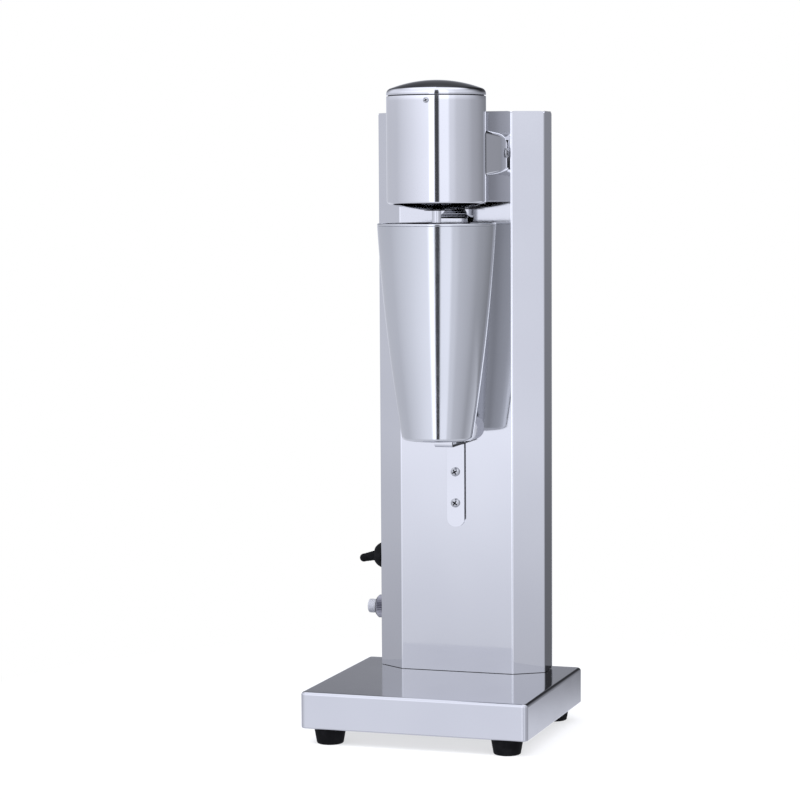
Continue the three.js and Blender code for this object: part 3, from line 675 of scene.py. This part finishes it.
CORD_HOLE = 7
grommet_z = middle_of("cord_grommet").z
panel_mid = (panel_high.z + panel_low.z) / 2
panel_frame = rectangle(panel_high.x, (panel_high.z - panel_low.z) / 2, 1.5, 4)
panel_plan = [(x, z + panel_mid) for x, z in panel_frame]
slots = [slot_outline(x, z, 14, 1.3, 1.25) for x in (-20, 20) for z in (392, 400, 408, 416, 424)]
panel_holes = slots + [arc(0, grommet_z, CORD_HOLE, 0, 352, 44)]
make("back_cover", pierced(panel_plan, panel_holes, -panel_high.y, -panel_low.y), panel_steel,
     "stand", ["column_back_panel"],
     place=Matrix.Rotation(math.pi / 2, 4, "X"), bevel=0.3, segments=2)

panel_screw = pan_head_screw(2.9, 1.9, 1.5, 6)
panel_screws = [f"panel_screw_{side}_{level}" for side in ("left", "right") for level in ("low", "high")]
for index, node in enumerate(panel_screws):
    spot = middle_of(node)
    make(f"{node}_head", panel_screw, zinc, "stand", [node],
         place=at(spot.x, panel_high.y, spot.z, "back", 17 + 41 * index),
         sharp=30, shaded_faces=in_recess(2.9, 1.9))


def grommet_ring(bore, hole, flange, thick):
    """A ring with a flange on each side of a sheet whose outside lies at z = 0."""
    back, lip = -thick - GAP, GAP + 1.6
    outline = [
        (bore, back - 2), (flange, back - 2), (flange, back), (hole - GAP, back),
        (hole - GAP, GAP), (flange, GAP), (flange - 0.4, lip), (bore, lip),
    ]
    return turned(rounded(outline, [0.5, 0.4, 0.2, 0, 0, 0.2, 0.8, 0.6], steps=4), 64)


make("outlet_grommet", grommet_ring(3.6, CORD_HOLE, 9, THIN), rubber, "stand",
     ["cord_grommet"], place=at(0, panel_high.y, grommet_z, "back"))

# ---- controls on the left side ----
collar = middle_of("toggle_boot_collar")
control_y, toggle_z = collar.y, collar.z
collar_outline = rounded([
    (COLLAR_BORE, GAP), (10.2, GAP), (10.2, 1.5), *arc(0, -0.76, 10.3, 16, 52, 6),
    (5.6, 7.5), (4.95, 7.2), (5.2, 5.0), (COLLAR_BORE, 4.0),
], [0, 0.3, 0.5, *[0] * 7, 0.35, 0.3, 0, 0], steps=4)
make("boot_collar", turned(collar_outline, 72), rubber, "stand",
     ["toggle_boot_collar"], place=at(-side_x, control_y, toggle_z, "left"))

BALL, NECK_RADIUS, TIP_RADIUS, LEVER_LENGTH = 4.8, 3.8, 3.15, 16.0
neck_angle = math.degrees(math.acos(NECK_RADIUS / BALL))
tip_centre = LEVER_LENGTH - TIP_RADIUS
RIB_STEPS, RIB_DEPTH = 8, 0.16
ribs = [
    (NECK_RADIUS + (TIP_RADIUS - NECK_RADIUS) * k / RIB_STEPS - RIB_DEPTH * (k % 2),
     3.6 + (tip_centre - 4.4) * k / RIB_STEPS)
    for k in range(RIB_STEPS + 1)
]
lever_outline = [
    (0, -BALL), *arc(0, 0, BALL, -80, neck_angle, 12), (NECK_RADIUS - 0.1, 3.1),
    *rounded(ribs, 0.5, closed=False, steps=3), *arc(0, tip_centre, TIP_RADIUS, 0, 82, 9),
    (0, LEVER_LENGTH),
]
DROOP = 13
ball_place = Matrix.Translation((-side_x - 5, control_y, toggle_z))
lever_turn = Matrix.Rotation(math.radians(-DROOP), 4, "Y") @ FACING["left"]
make("sleeved_lever", turned(lever_outline, 56), rubber, "switch_lever",
     ["toggle_lever"], place=ball_place @ lever_turn, sharp=70)

ring_low, ring_high = box_mm("breaker_ring")
reset_z = (ring_low.z + ring_high.z) / 2
ring_radius = (ring_high.z - ring_low.z) / 2
ring_length = ring_high.x - ring_low.x
ring_outline = rounded([
    (NUT_BORE, GAP), (ring_radius - 0.5, GAP), (ring_radius, GAP + 0.5), (ring_radius, ring_length - 0.5),
    (ring_radius - 0.7, ring_length + GAP), (NUT_BORE, ring_length + GAP),
], [0.2, 0.2, 0.2, 0.25, 0.25, 0.2], steps=3)
KNURLS = 36


def knurl(index, angle):
    """Sharp teeth round the nut's outside; its bore stays round."""
    radius = ring_outline[index][0]
    share = max(0.0, min(1.0, (radius - 7.9) / 0.7))
    tooth = abs((angle * KNURLS / FULL_TURN) % 1 - 0.5) * 2
    return -0.75 * share * tooth, 0


make("knurled_nut", turned(ring_outline, KNURLS * 8, knurl), ring_metal, "stand",
     ["breaker_ring"], place=at(-side_x, control_y, reset_z, "left"), sharp=30)

button_low, button_high = box_mm("reset_button")
button_radius = (button_high.z - button_low.z) / 2
button_tip = -side_x - button_low.x
stem_radius = button_radius - 0.5
button_outline = rounded([
    (0, 3.4), (stem_radius, 3.4), (stem_radius, 5.6), (button_radius, 6.0),
    (button_radius, button_tip), (button_radius * 0.62, button_tip), (0, button_tip - 0.5),
], [0, 0.2, 0.2, 0.2, 1.0, 1.6, 0], closed=False, steps=6)
make("reset_cap", turned(button_outline, 64), grey_plastic, "reset_plunger",
     ["reset_button"], place=at(-side_x, control_y, reset_z, "left"))

# ---- cup supports ----
ledge_low, ledge_high = box_mm("cup_ledge")
LEDGE_THICK = 2.0
SHELF_TOP = 213.6
ledge_half, ledge_back = ledge_high.x, ledge_high.y


def ledge_bracket():
    """One bent strip: up the column, forward under the cup and up at its end."""
    lip_y = ledge_low.y + LEDGE_THICK
    nose = [math.radians(a) for a in range(10, 91, 5)]
    path = [(ledge_back, ledge_low.z + ledge_half - ledge_half * math.cos(a)) for a in nose]
    widths = [ledge_half * math.sin(a) for a in nose]
    bend = LEDGE_THICK + 0.8
    path += arc(ledge_back - bend, SHELF_TOP - bend, bend, 0, 90, 8)
    # The path has become the shelf's upper side, so the lip turns up round its own inside radius.
    inner = bend - LEDGE_THICK
    path += arc(lip_y + inner, SHELF_TOP + inner, inner, 270, 180, 6)
    path.append((lip_y, ledge_high.z))
    widths += [ledge_half] * (len(path) - len(widths))
    return bent_strip(path, widths, LEDGE_THICK)


make("bent_ledge", ledge_bracket(), fitting_steel, "stand", ["cup_ledge"],
     bevel=0.75, segments=4)

ledge_screw = pan_head_screw(3.4, 2.3, 2.0, 7)
for spin, level in ((30, "upper"), (55, "lower")):
    node = f"ledge_screw_{level}"
    make(f"ledge_screw_head_{level}", ledge_screw, screw_steel, "stand", [node],
         place=at(0, ledge_back - LEDGE_THICK, middle_of(node).z, "front", spin),
         sharp=30, shaded_faces=in_recess(3.4, 2.3))

rest_low, rest_high = box_mm("cup_backrest")
rest_mid = (rest_low.z + rest_high.z) / 2
rest_tall = (rest_high.z - rest_low.z) / 2
BEND_HALF = 7.0


def backrest():
    """A shallow sheet behind the cup's foot, its two wings bent forward and rounded."""
    wing = [(BEND_HALF, rest_high.y), (rest_high.x - 2.6, rest_low.y + SHEET)]
    corners = [(-x, y) for x, y in wing[::-1]] + wing
    path = rounded(corners, [0, 9, 9, 0], closed=False, steps=8)
    dense, heights = [], []
    for a, b in zip(path, path[1:]):
        a, b = Vector(a), Vector(b)
        steps = max(1, int((b - a).length / 0.5))
        dense += [tuple(a.lerp(b, k / steps)) for k in range(steps)]
    dense.append(path[-1])
    corner = 8.6
    for x, _ in dense:
        away = min(max(wing[-1][0] - abs(x), 0.0), corner)
        rise = math.sqrt(max(corner ** 2 - (corner - away) ** 2, 0.04))
        heights.append(rest_tall - corner + rise)
    vertices, faces = bent_strip(dense, heights, -SHEET)
    return [(y, z, x) for x, y, z in vertices], faces


make("winged_backrest", backrest(), fitting_steel, "stand", ["cup_backrest"],
     place=Matrix.Translation((0, 0, rest_mid)), bevel=0.3)

hook_low, hook_high = box_mm("cup_rim_hook")


def rim_hook():
    """A tongue that flares as it curves forward over the cup's rim, then turns down inside it."""
    step, flare, narrow, wide, rear = 380.4, 394.0, 6.3, hook_high.x, hook_high.y
    sweep, nose, corner = 6.2, 0.8, 3.0
    tip_y = hook_low.y + SHEET
    straight = [(rear, hook_high.z)] + [(rear, flare - (flare - step - sweep) * k / 6) for k in range(7)]
    curve = arc(rear - sweep, step + sweep, sweep, 0, -90, 12)
    spread = [1 - math.cos(math.radians(90 * k / 18)) for k in range(19)]
    widths = [narrow] + [narrow + (wide - narrow) * share for share in spread]
    # The path has become the step's underside, so the nose turns down round its own inside radius.
    path = straight + curve[1:] + arc(tip_y + nose, step - nose, nose, 90, 180, 6)
    widths += [wide] * (len(path) - len(widths))
    for k in range(9):
        a = math.radians(90 * k / 8)
        path.append((tip_y, hook_low.z + corner - corner * math.sin(a)))
        widths.append(wide - corner + corner * math.cos(a))
    return bent_strip(path, widths, -SHEET)


make("arched_rim_hook", rim_hook(), fitting_steel, "stand", ["cup_rim_hook"], bevel=0.25)

# ---- cup ----
cup_low, cup_high = box_mm("cup")
axis_y = (cup_low.y + cup_high.y) / 2
cup_tall = cup_high.z - cup_low.z


def cup_wall(rise):
    """Radius of the cup's gently curved wall at a height above its foot."""
    return 25.85 + 0.1645 * rise - 3.354e-4 * rise ** 2


def malt_cup():
    """A drawn cup: rounded foot with a dished base, gently curved wall and a rolled bead at the rim."""
    wall, bead, corner = 0.8, 1.0, 3.2
    top = cup_tall - 2 * bead
    rises = [corner + (top - corner) * k / 40 for k in range(41)]
    outside = [(cup_wall(r), r) for r in rises]
    foot = [
        (0, 1.3), (19.5, 1.3), (21.5, 0.35), (22.6, 0.0),
        *arc(outside[0][0] - corner, corner, corner, 272, 350, 8),
    ]
    rim_radius = cup_wall(cup_tall) - bead
    roll = arc(rim_radius, cup_tall - bead, bead, -60, 180, 14)
    inside = [(cup_wall(r) - wall, max(r, 3.4)) for r in reversed(rises)]
    floor = [(outside[0][0] - wall - 2.6, 2.3), (18.0, 2.2), (0, 2.2)]
    return turned(foot + outside + roll + inside + floor, 160)


make("malt_cup", malt_cup(), cup_steel, "cup", ["cup"],
     place=at(0, axis_y, cup_low.z), sharp=50)

# ---- head ----
housing_low, housing_high = box_mm("head_housing")
dish_bottom = box_mm("head_bottom_dish")[0].z
head_radius = (housing_high.x - housing_low.x) / 2
seam = housing_high.z
LOW_EDGE = 392.1     # where the barrel starts to turn in
HEAD_SEGMENTS = 192
on_axis = at(0, axis_y, 0)


def head_housing():
    """A spun tube whose lower edge is rolled in to carry the bottom dish."""
    roll = 2.9
    inner = head_radius - THIN
    outside = [(head_radius, seam - 0.65), (head_radius, seam - 4), (head_radius, LOW_EDGE + 12)]
    turn_in = arc(head_radius - roll, LOW_EDGE + 1.4, roll, 0, -62, 10)
    end_radius, end_z = turn_in[-1]
    inside = [
        (end_radius - 0.5, end_z + 0.6), (head_radius - 3.6, LOW_EDGE + 0.8), (inner, LOW_EDGE + 3),
        (inner, seam - 0.35), (head_radius - 0.3, seam - 0.35),
    ]
    return turned(outside + turn_in + inside, HEAD_SEGMENTS)


make("spun_housing", head_housing(), head_steel, "head", ["head_housing"],
     place=on_axis, sharp=50)

SKIRT, DOME, SHOULDER = 4.2, 7.3, 4.2
CREASE = 0.25        # the open seam between the barrel and its cap


def head_cap():
    """A pressed cap: a short skirt, a round shoulder and a shallow dome that run into each other."""
    bulge = (head_radius ** 2 + DOME ** 2) / (2 * DOME)
    centre = seam + SKIRT + DOME - bulge
    bend = head_radius - SHOULDER
    bend_z = centre + math.sqrt((bulge - SHOULDER) ** 2 - bend ** 2)
    meet = math.degrees(math.atan2(bend_z - centre, bend))
    skirt = [(head_radius - 0.2, seam + CREASE), (head_radius, seam + CREASE + 0.2)]
    over = skirt + arc(bend, bend_z, SHOULDER, 0, meet, 10) + arc(0, centre, bulge, meet, 90, 26)[1:]
    over[-1] = (0, centre + bulge)
    under = arc(0, centre, bulge - THIN, 90, meet + 1, 16)
    under[0] = (0, centre + bulge - THIN)
    inner = head_radius - THIN - GAP
    reach = seam - 8
    sleeve = [(inner - 1.2, bend_z - 2), (inner - 1.2, reach), (inner, reach), (inner, seam + CREASE)]
    return turned(under + sleeve + over, HEAD_SEGMENTS)


def in_crease(radius, z):
    """Tells the sleeve inside the seam, which takes painted shade, from the rest of the cap."""
    return 34 < radius < head_radius - 0.9 and z < seam + 0.5


make("pressed_cap", head_cap(), head_steel, "head", ["head_top_cap"],
     place=on_axis, sharp=50, shaded_faces=in_crease)


def bottom_dish():
    """A shallow dish with a raised collar round the spindle's seal."""
    edge = head_radius - 4.4
    depth = 4.2
    bulge = (edge ** 2 + depth ** 2) / (2 * depth)
    span = math.degrees(math.asin(edge / bulge))
    hole = math.degrees(math.asin(8 / bulge))
    centre = dish_bottom + bulge
    under = arc(0, centre, bulge, 270 + span, 270 + hole, 18)
    over = arc(0, centre, bulge - THIN, 270 + hole, 270 + span, 18)
    collar = [(9.4, dish_bottom + 0.2), (8.9, dish_bottom - 0.1), (8.1, dish_bottom - 0.1)]
    return turned(under[:-1] + collar + over, 160)


make("dished_underside", bottom_dish(), head_steel, "head", ["head_bottom_dish"],
     place=on_axis, sharp=45)

cap_screw = pan_head_screw(2.1, 1.3, 1.2, 4)
for degrees, label in ((6, "front"), (126, "right"), (246, "left")):
    node = f"cap_screw_{label}"
    turn = at(0, axis_y, middle_of(node).z, spin=degrees)
    place = turn @ Matrix.Translation((0, -head_radius, 0)) @ FACING["front"] @ Matrix.Rotation(0.4, 4, "Z")
    make(f"cap_screw_head_{label}", cap_screw, screw_steel, "head", [node],
         place=place, sharp=30, shaded_faces=in_recess(2.1, 1.3))

# ---- neck ----
neck_low, neck_high = box_mm("neck_cover")
NECK_REAR = 32.3
NECK_EDGE = 3.6     # radius of the long edges
NECK_ROUND = 13.8   # wide enough to clear the column when the head is up
NECK_BEND = 16.0    # in front of this Y the cheeks close in on the barrel
NECK_FLARE = 0.22
FRONT_LOW, FRONT_HIGH, REAR_LOW, REAR_HIGH = 409.9, 445.2, 414.1, 442.2


def neck_sections(inset):
    """Upright sections from the barrel back to the hinge: they widen gently, then round off behind."""
    def section(y, top):
        from_bend = NECK_BEND - y
        narrowing = NECK_FLARE * (from_bend + math.hypot(from_bend, 2)) / 2
        low = FRONT_LOW + (REAR_LOW - FRONT_LOW) * (y - neck_low.y) / (NECK_REAR - neck_low.y) + inset
        half_x, half_z = neck_high.x - inset - narrowing, (top - low) / 2
        corner = max(NECK_EDGE - inset, 0.4)
        return [(x, y, z + low + half_z) for x, z in rectangle(half_x, half_z, corner, 8)]

    crown_y, crown_z, radius = NECK_REAR - NECK_ROUND, REAR_HIGH - NECK_ROUND, NECK_ROUND - inset
    front = neck_low.y + inset
    sections = []
    for k in range(15):
        y = front + (crown_y - front) * k / 15
        fall = (REAR_HIGH - FRONT_HIGH) * (y - neck_low.y) / (crown_y - neck_low.y)
        sections.append(section(y, FRONT_HIGH + fall - inset))
    return sections + [section(y, z) for y, z in arc(crown_y, crown_z, radius, 90, 0, 18)]


def neck_cover():
    """A folded cover with soft long edges that grows out of the barrel and is open towards the hinge."""
    body = stacked(neck_sections(0))
    room = stacked(neck_sections(SHEET))
    inner_half = neck_high.x - SHEET
    floor_z, crown_z = REAR_LOW + SHEET, REAR_HIGH - 4.7
    rear = [(23, floor_z), (40, floor_z), (40, crown_z), (23, crown_z)]
    opening = prism_x(rear, -inner_half, inner_half)
    barrel, liner = (
        moved(turned([(0, 380), (radius, 380), (radius, 480), (0, 480)], 128), on_axis)
        for radius in (head_radius + GAP, head_radius + GAP + SHEET)
    )
    return carved(body, carved(room, liner), opening, barrel)


make("neck_cheeks", neck_cover(), head_steel, "head", ["neck_cover"], sharp=32)

pivot = middle_of("pivot_screw_right")
bracket_high = box_mm("hinge_bracket")[1]
EAR = 2.0


def hinge_bracket():
    """A channel on the column's face: a plate with a hole for the lead, and two round-nosed ears."""
    back, ear_x = bracket_high.y, bracket_high.x
    low, high = pivot.z - 10, pivot.z + 4.2
    middle = (low + high) / 2
    plan = [(x, z + middle) for x, z in rectangle(ear_x - 1, (high - low) / 2, 1.5, 5)]
    lead_hole = arc(0, pivot.z - 2, 5, 0, 350, 35)
    plate = moved(pierced(plan, [lead_hole], -back, EAR - back), FACING["back"].inverted())
    nose = arc(pivot.y, pivot.z, 6, 60, 270, 20)[2:-2]
    ear = [(back - 1, low + 1), (back - 1, high), *nose]
    ears = [prism_x(ear, start, start + EAR) for start in (-ear_x, ear_x - EAR)]
    return merged(plate, *ears)


make("hinge_channel", hinge_bracket(), zinc, "stand", ["hinge_bracket"],
     bevel=0.3, segments=2)

pivot_screw = pan_head_screw(3.6, 1.5, 2.5, 5.4)
for side, x in (("left", -neck_high.x), ("right", neck_high.x)):
    make(f"pivot_screw_head_{side}", pivot_screw, screw_steel, "stand",
         [f"pivot_screw_{side}"], place=at(x, pivot.y, pivot.z, side, 35),
         sharp=30, shaded_faces=in_recess(3.6, 1.5))

# ---- spindle and agitator ----
SPINDLE_RADIUS, TIP_NUT = 3.4, 4.4
AGITATOR_RADIUS = 12.5
spindle_low, spindle_high = (corner.z for corner in box_mm("spindle"))
disc_z = box_mm("agitator")[0].z
spindle_outline = rounded([
    (0, spindle_low), (TIP_NUT, spindle_low), (TIP_NUT, disc_z + 1.1), (SPINDLE_RADIUS, disc_z + 1.1),
    (SPINDLE_RADIUS, spindle_high - 12), (SPINDLE_RADIUS, spindle_high), (0, spindle_high),
], [0, 1.2, 0, 0, 0, 0.3, 0], closed=False, steps=6)
make("spindle_rod", turned(spindle_outline, 64), head_steel, "rotor", ["spindle"],
     place=on_axis)

disc_bore = SPINDLE_RADIUS + GAP
agitator_outline = rounded([
    (disc_bore, disc_z + 1.4), (AGITATOR_RADIUS, disc_z + 0.2), (AGITATOR_RADIUS, disc_z + 1.2),
    (5.6, disc_z + 3), (disc_bore, disc_z + 3),
], [0, 0.4, 0.4, 1.0, 0.3], steps=5)


def scallop(index, angle):
    """Six scallops pull the disc's edge in and lift it in turn."""
    radius = agitator_outline[index][0]
    share = max(0.0, (radius - 5.5) / 7.0)
    lobe = 0.5 - 0.5 * math.cos(6 * angle)
    return -2.2 * share * lobe, 0.9 * share * lobe


make("scalloped_agitator", turned(agitator_outline, 144, scallop), head_steel, "rotor",
     ["agitator"], place=on_axis, sharp=45)

# ---- CAD nodes that stay as they are ----
KEPT = (
    (zinc, ("column_foot_bracket_left", "column_foot_bracket_right",
            "motor_lower_bridge", "motor_upper_bridge")),
    (rubber, ("motor_lead", "motor_lead_grommet", "spindle_seal")),
    (grey_plastic, ("terminal_block",)),
    (black_plastic, ("toggle_switch_case", "breaker_case", "brush_holder_left", "brush_holder_right",
                     "cooling_fan")),
    (iron, ("motor_stator", "armature")),
    (fitting_steel, ("lower_bearing", "upper_bearing", "motor_shaft")),
    (copper, ("commutator",)),
)
for material, nodes in KEPT:
    for node in nodes:
        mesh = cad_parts[node].data
        mesh.materials.clear()
        mesh.materials.append(material)


# ---- floor, light and camera ----
def stage_disc(name, radius, z, material):
    mesh = bpy.data.meshes.new(name)
    mesh.from_pydata([(x, y, z) for x, y in arc(0, 0, radius, 0, 357, 119)], [], [tuple(range(120))])
    mesh.materials.append(material)
    disc = bpy.data.objects.new(name, mesh)
    bpy.context.scene.collection.objects.link(disc)
    return disc


def pale_floor():
    """Pale near the part, where its soft shadow falls, and as white as the backdrop further out."""
    look = Look("pale_floor")
    look.shader.inputs["Specular IOR Level"].default_value = 0.0
    look.shader.inputs["Roughness"].default_value = 0.9
    tone = look.blend(look.noise(3), (0.86, 0.86, 0.86), (0.88, 0.88, 0.88))
    look.link(tone, look.shader.inputs["Base Color"])
    length = look.node("ShaderNodeVectorMath", operation="LENGTH")
    look.link(look.place, length.inputs[0])
    glow = look.node("ShaderNodeEmission")
    glow.inputs["Strength"].default_value = 1.0
    mix = look.node("ShaderNodeMixShader")
    look.link(look.range(length.outputs["Value"], 0.6, 1.0, 0.12, 0.42), mix.inputs[0])
    look.link(look.shader.outputs[0], mix.inputs[1])
    look.link(glow.outputs[0], mix.inputs[2])
    look.link(mix.outputs[0], look.tree.nodes["Material Output"].inputs["Surface"])
    return look.material


floor = stage_disc("floor", 12.0, 0.0, pale_floor())
floor.visible_glossy = False
floor.visible_diffuse = False

CAMERA = Vector((0.5918, -1.8916, 0.4086))
CAMERA_TURN = 18.284
CAMERA_PITCH = 4.662
CAMERA_ROLL = 0.34
LENS = 121.5

# How bright the surroundings are at each bearing from the camera's side, in degrees, positive to its right.
BEARINGS = [
    (-180, 1.10), (-172, 0.80), (-159, 0.72), (-124, 0.81), (-103, 0.83), (-86, 0.95), (-71, 1.04),
    (-58, 1.12), (-45, 1.21), (-33, 1.28), (-18, 1.36),
    (-14.5, 2.0), (-5.2, 2.0),                          # a bright panel
    (-3.1, 0.10), (5.3, 0.08),                          # a dark gap beside it
    (7.6, 1.40), (27, 1.42), (31.5, 1.07), (40, 1.02), (48, 0.86), (62.5, 0.79), (76.5, 0.72),
    (92, 0.58), (110, 0.51), (134, 0.37), (157, 0.27), (168, 0.32), (174, 1.0), (180, 1.10),
]
GROUND_LEVEL = 0.95
SKY_LEVEL = 1.6


def build_world():
    """What the steel reflects: a level for each bearing, changed with height. The lens sees white."""
    world = bpy.data.worlds.new("studio")
    bpy.context.scene.world = world
    world.use_nodes = True
    tree = world.node_tree
    tree.nodes.clear()

    def node(kind, **values):
        made = tree.nodes.new(kind)
        for key, value in values.items():
            setattr(made, key, value)
        return made

    def join(source, target):
        tree.links.new(source, target)

    def maths(operation, a, b):
        made = node("ShaderNodeMath", operation=operation)
        for socket, value in zip(made.inputs, (a, b)):
            if isinstance(value, (int, float)):
                socket.default_value = value
            else:
                join(value, socket)
        return made.outputs[0]

    def ramp(value, stops):
        """A curve of levels from 0 to 2, given as (position from 0 to 1, level)."""
        made = node("ShaderNodeValToRGB")
        elements = made.color_ramp.elements
        for i, (position, level) in enumerate(stops):
            element = elements[i] if i < 2 else elements.new(position)
            element.position = position
            element.color = (level / 2, level / 2, level / 2, 1)
        join(value, made.inputs["Fac"])
        return maths("MULTIPLY", made.outputs["Color"], 2.0)

    way = node("ShaderNodeTexCoord").outputs["Generated"]
    bearing = math.atan2(CAMERA.x, -CAMERA.y)
    towards = Vector((math.sin(bearing), -math.cos(bearing), 0))
    across = Vector((math.cos(bearing), math.sin(bearing), 0))
    parts = []
    for axis in (across, towards):
        dot = node("ShaderNodeVectorMath", operation="DOT_PRODUCT")
        join(way, dot.inputs[0])
        dot.inputs[1].default_value = axis
        parts.append(dot.outputs["Value"])
    angle = maths("ARCTAN2", *parts)
    share = maths("ADD", maths("DIVIDE", angle, FULL_TURN), 0.5)
    split = node("ShaderNodeSeparateXYZ")
    join(way, split.inputs[0])
    height = maths("ADD", maths("MULTIPLY", split.outputs["Z"], 0.5), 0.5)

    sides = ramp(share, [((a + 180) / 360, level) for a, level in BEARINGS])
    behind = ramp(share, [(0.0, 1), (0.05, 1), (0.13, 0), (0.76, 0), (0.87, 1), (1.0, 1)])
    front_rise = ramp(height, [(0.0, 1), (0.51, 1), (0.56, 1.3), (0.75, 1.4), (0.9, 1.1), (1.0, 1.1)])
    back_rise = ramp(height, [
        (0.0, 1), (0.52, 1.0), (0.56, 0.62), (0.58, 0.36),
        (0.66, 0.13), (0.76, 0.08), (0.9, 0.14), (1.0, 0.7),
    ])
    rise = maths("ADD", maths("MULTIPLY", back_rise, behind),
                 maths("MULTIPLY", front_rise, maths("SUBTRACT", 1.0, behind)))
    upper = maths("MULTIPLY", sides, rise)
    under = ramp(height, [(0.0, 1), (0.40, 1), (0.409, 0), (1.0, 0)])
    deep = ramp(height, [(0.0, 1), (0.2, 1), (0.28, 0), (1.0, 0)])
    ground_share = maths("MAXIMUM", maths("MULTIPLY", under, behind), deep)
    right_rear = ramp(share, [(0.0, 0), (0.80, 0), (0.92, 1), (1.0, 1)])
    roof = maths("SUBTRACT", height, maths("MULTIPLY", right_rear, 0.05))
    sky_share = ramp(roof, [(0.0, 0), (0.84, 0), (0.93, 1), (1.0, 1)])
    rest_share = maths("SUBTRACT", 1.0, maths("ADD", ground_share, sky_share))
    level = maths("MULTIPLY", upper, rest_share)
    level = maths("ADD", level, maths("MULTIPLY", ground_share, GROUND_LEVEL))
    level = maths("ADD", level, maths("MULTIPLY", sky_share, SKY_LEVEL))

    surround = node("ShaderNodeBackground")
    join(level, surround.inputs["Strength"])
    surround.inputs["Color"].default_value = (*DAYLIGHT, 1)
    backdrop = node("ShaderNodeBackground")
    backdrop.inputs["Color"].default_value = (1, 1, 1, 1)
    backdrop.inputs["Strength"].default_value = 1.0
    choose = node("ShaderNodeMixShader")
    join(node("ShaderNodeLightPath").outputs["Is Camera Ray"], choose.inputs[0])
    join(surround.outputs[0], choose.inputs[1])
    join(backdrop.outputs[0], choose.inputs[2])
    join(choose.outputs[0], node("ShaderNodeOutputWorld").inputs["Surface"])


build_world()


def area_light(name, place, target, size, power):
    """A round soft light that no polished surface mirrors."""
    data = bpy.data.lights.new(name, "AREA")
    data.shape = "DISK"
    data.size = size
    data.energy = power
    light = bpy.data.objects.new(name, data)
    light.location = place
    light.rotation_euler = (Vector(target) - Vector(place)).to_track_quat("-Z", "Y").to_euler()
    light.visible_glossy = False
    bpy.context.scene.collection.objects.link(light)


area_light("key_from_left", (-1.5, -1.7, 2.4), (0, 0, 0.1), 1.6, 62)
area_light("fill_from_right", (1.8, -1.2, 1.8), (0, 0, 0.2), 1.8, 26)
area_light("back_fill", (0.3, 2.2, 2.2), (0, 0, 0.1), 1.8, 26)


def build_camera():
    data = bpy.data.cameras.new("camera")
    data.sensor_width = 36
    data.lens = LENS
    data.clip_start, data.clip_end = 0.05, 100
    camera = bpy.data.objects.new("camera", data)
    bpy.context.scene.collection.objects.link(camera)
    turn, pitch, roll = (math.radians(v) for v in (CAMERA_TURN, CAMERA_PITCH, CAMERA_ROLL))
    forward = Vector((-math.sin(turn) * math.cos(pitch), math.cos(turn) * math.cos(pitch), -math.sin(pitch)))
    right = Vector((math.cos(turn), math.sin(turn), 0))
    up = right.cross(forward)
    tilted_right = right * math.cos(roll) - up * math.sin(roll)
    tilted_up = up * math.cos(roll) + right * math.sin(roll)
    axes = Matrix((tilted_right, tilted_up, -forward)).transposed()
    camera.matrix_world = Matrix.Translation(CAMERA) @ axes.to_4x4()
    bpy.context.scene.camera = camera


build_camera()
bpy.context.scene.view_settings.view_transform = "Standard"
bpy.context.scene.view_settings.look = "None"
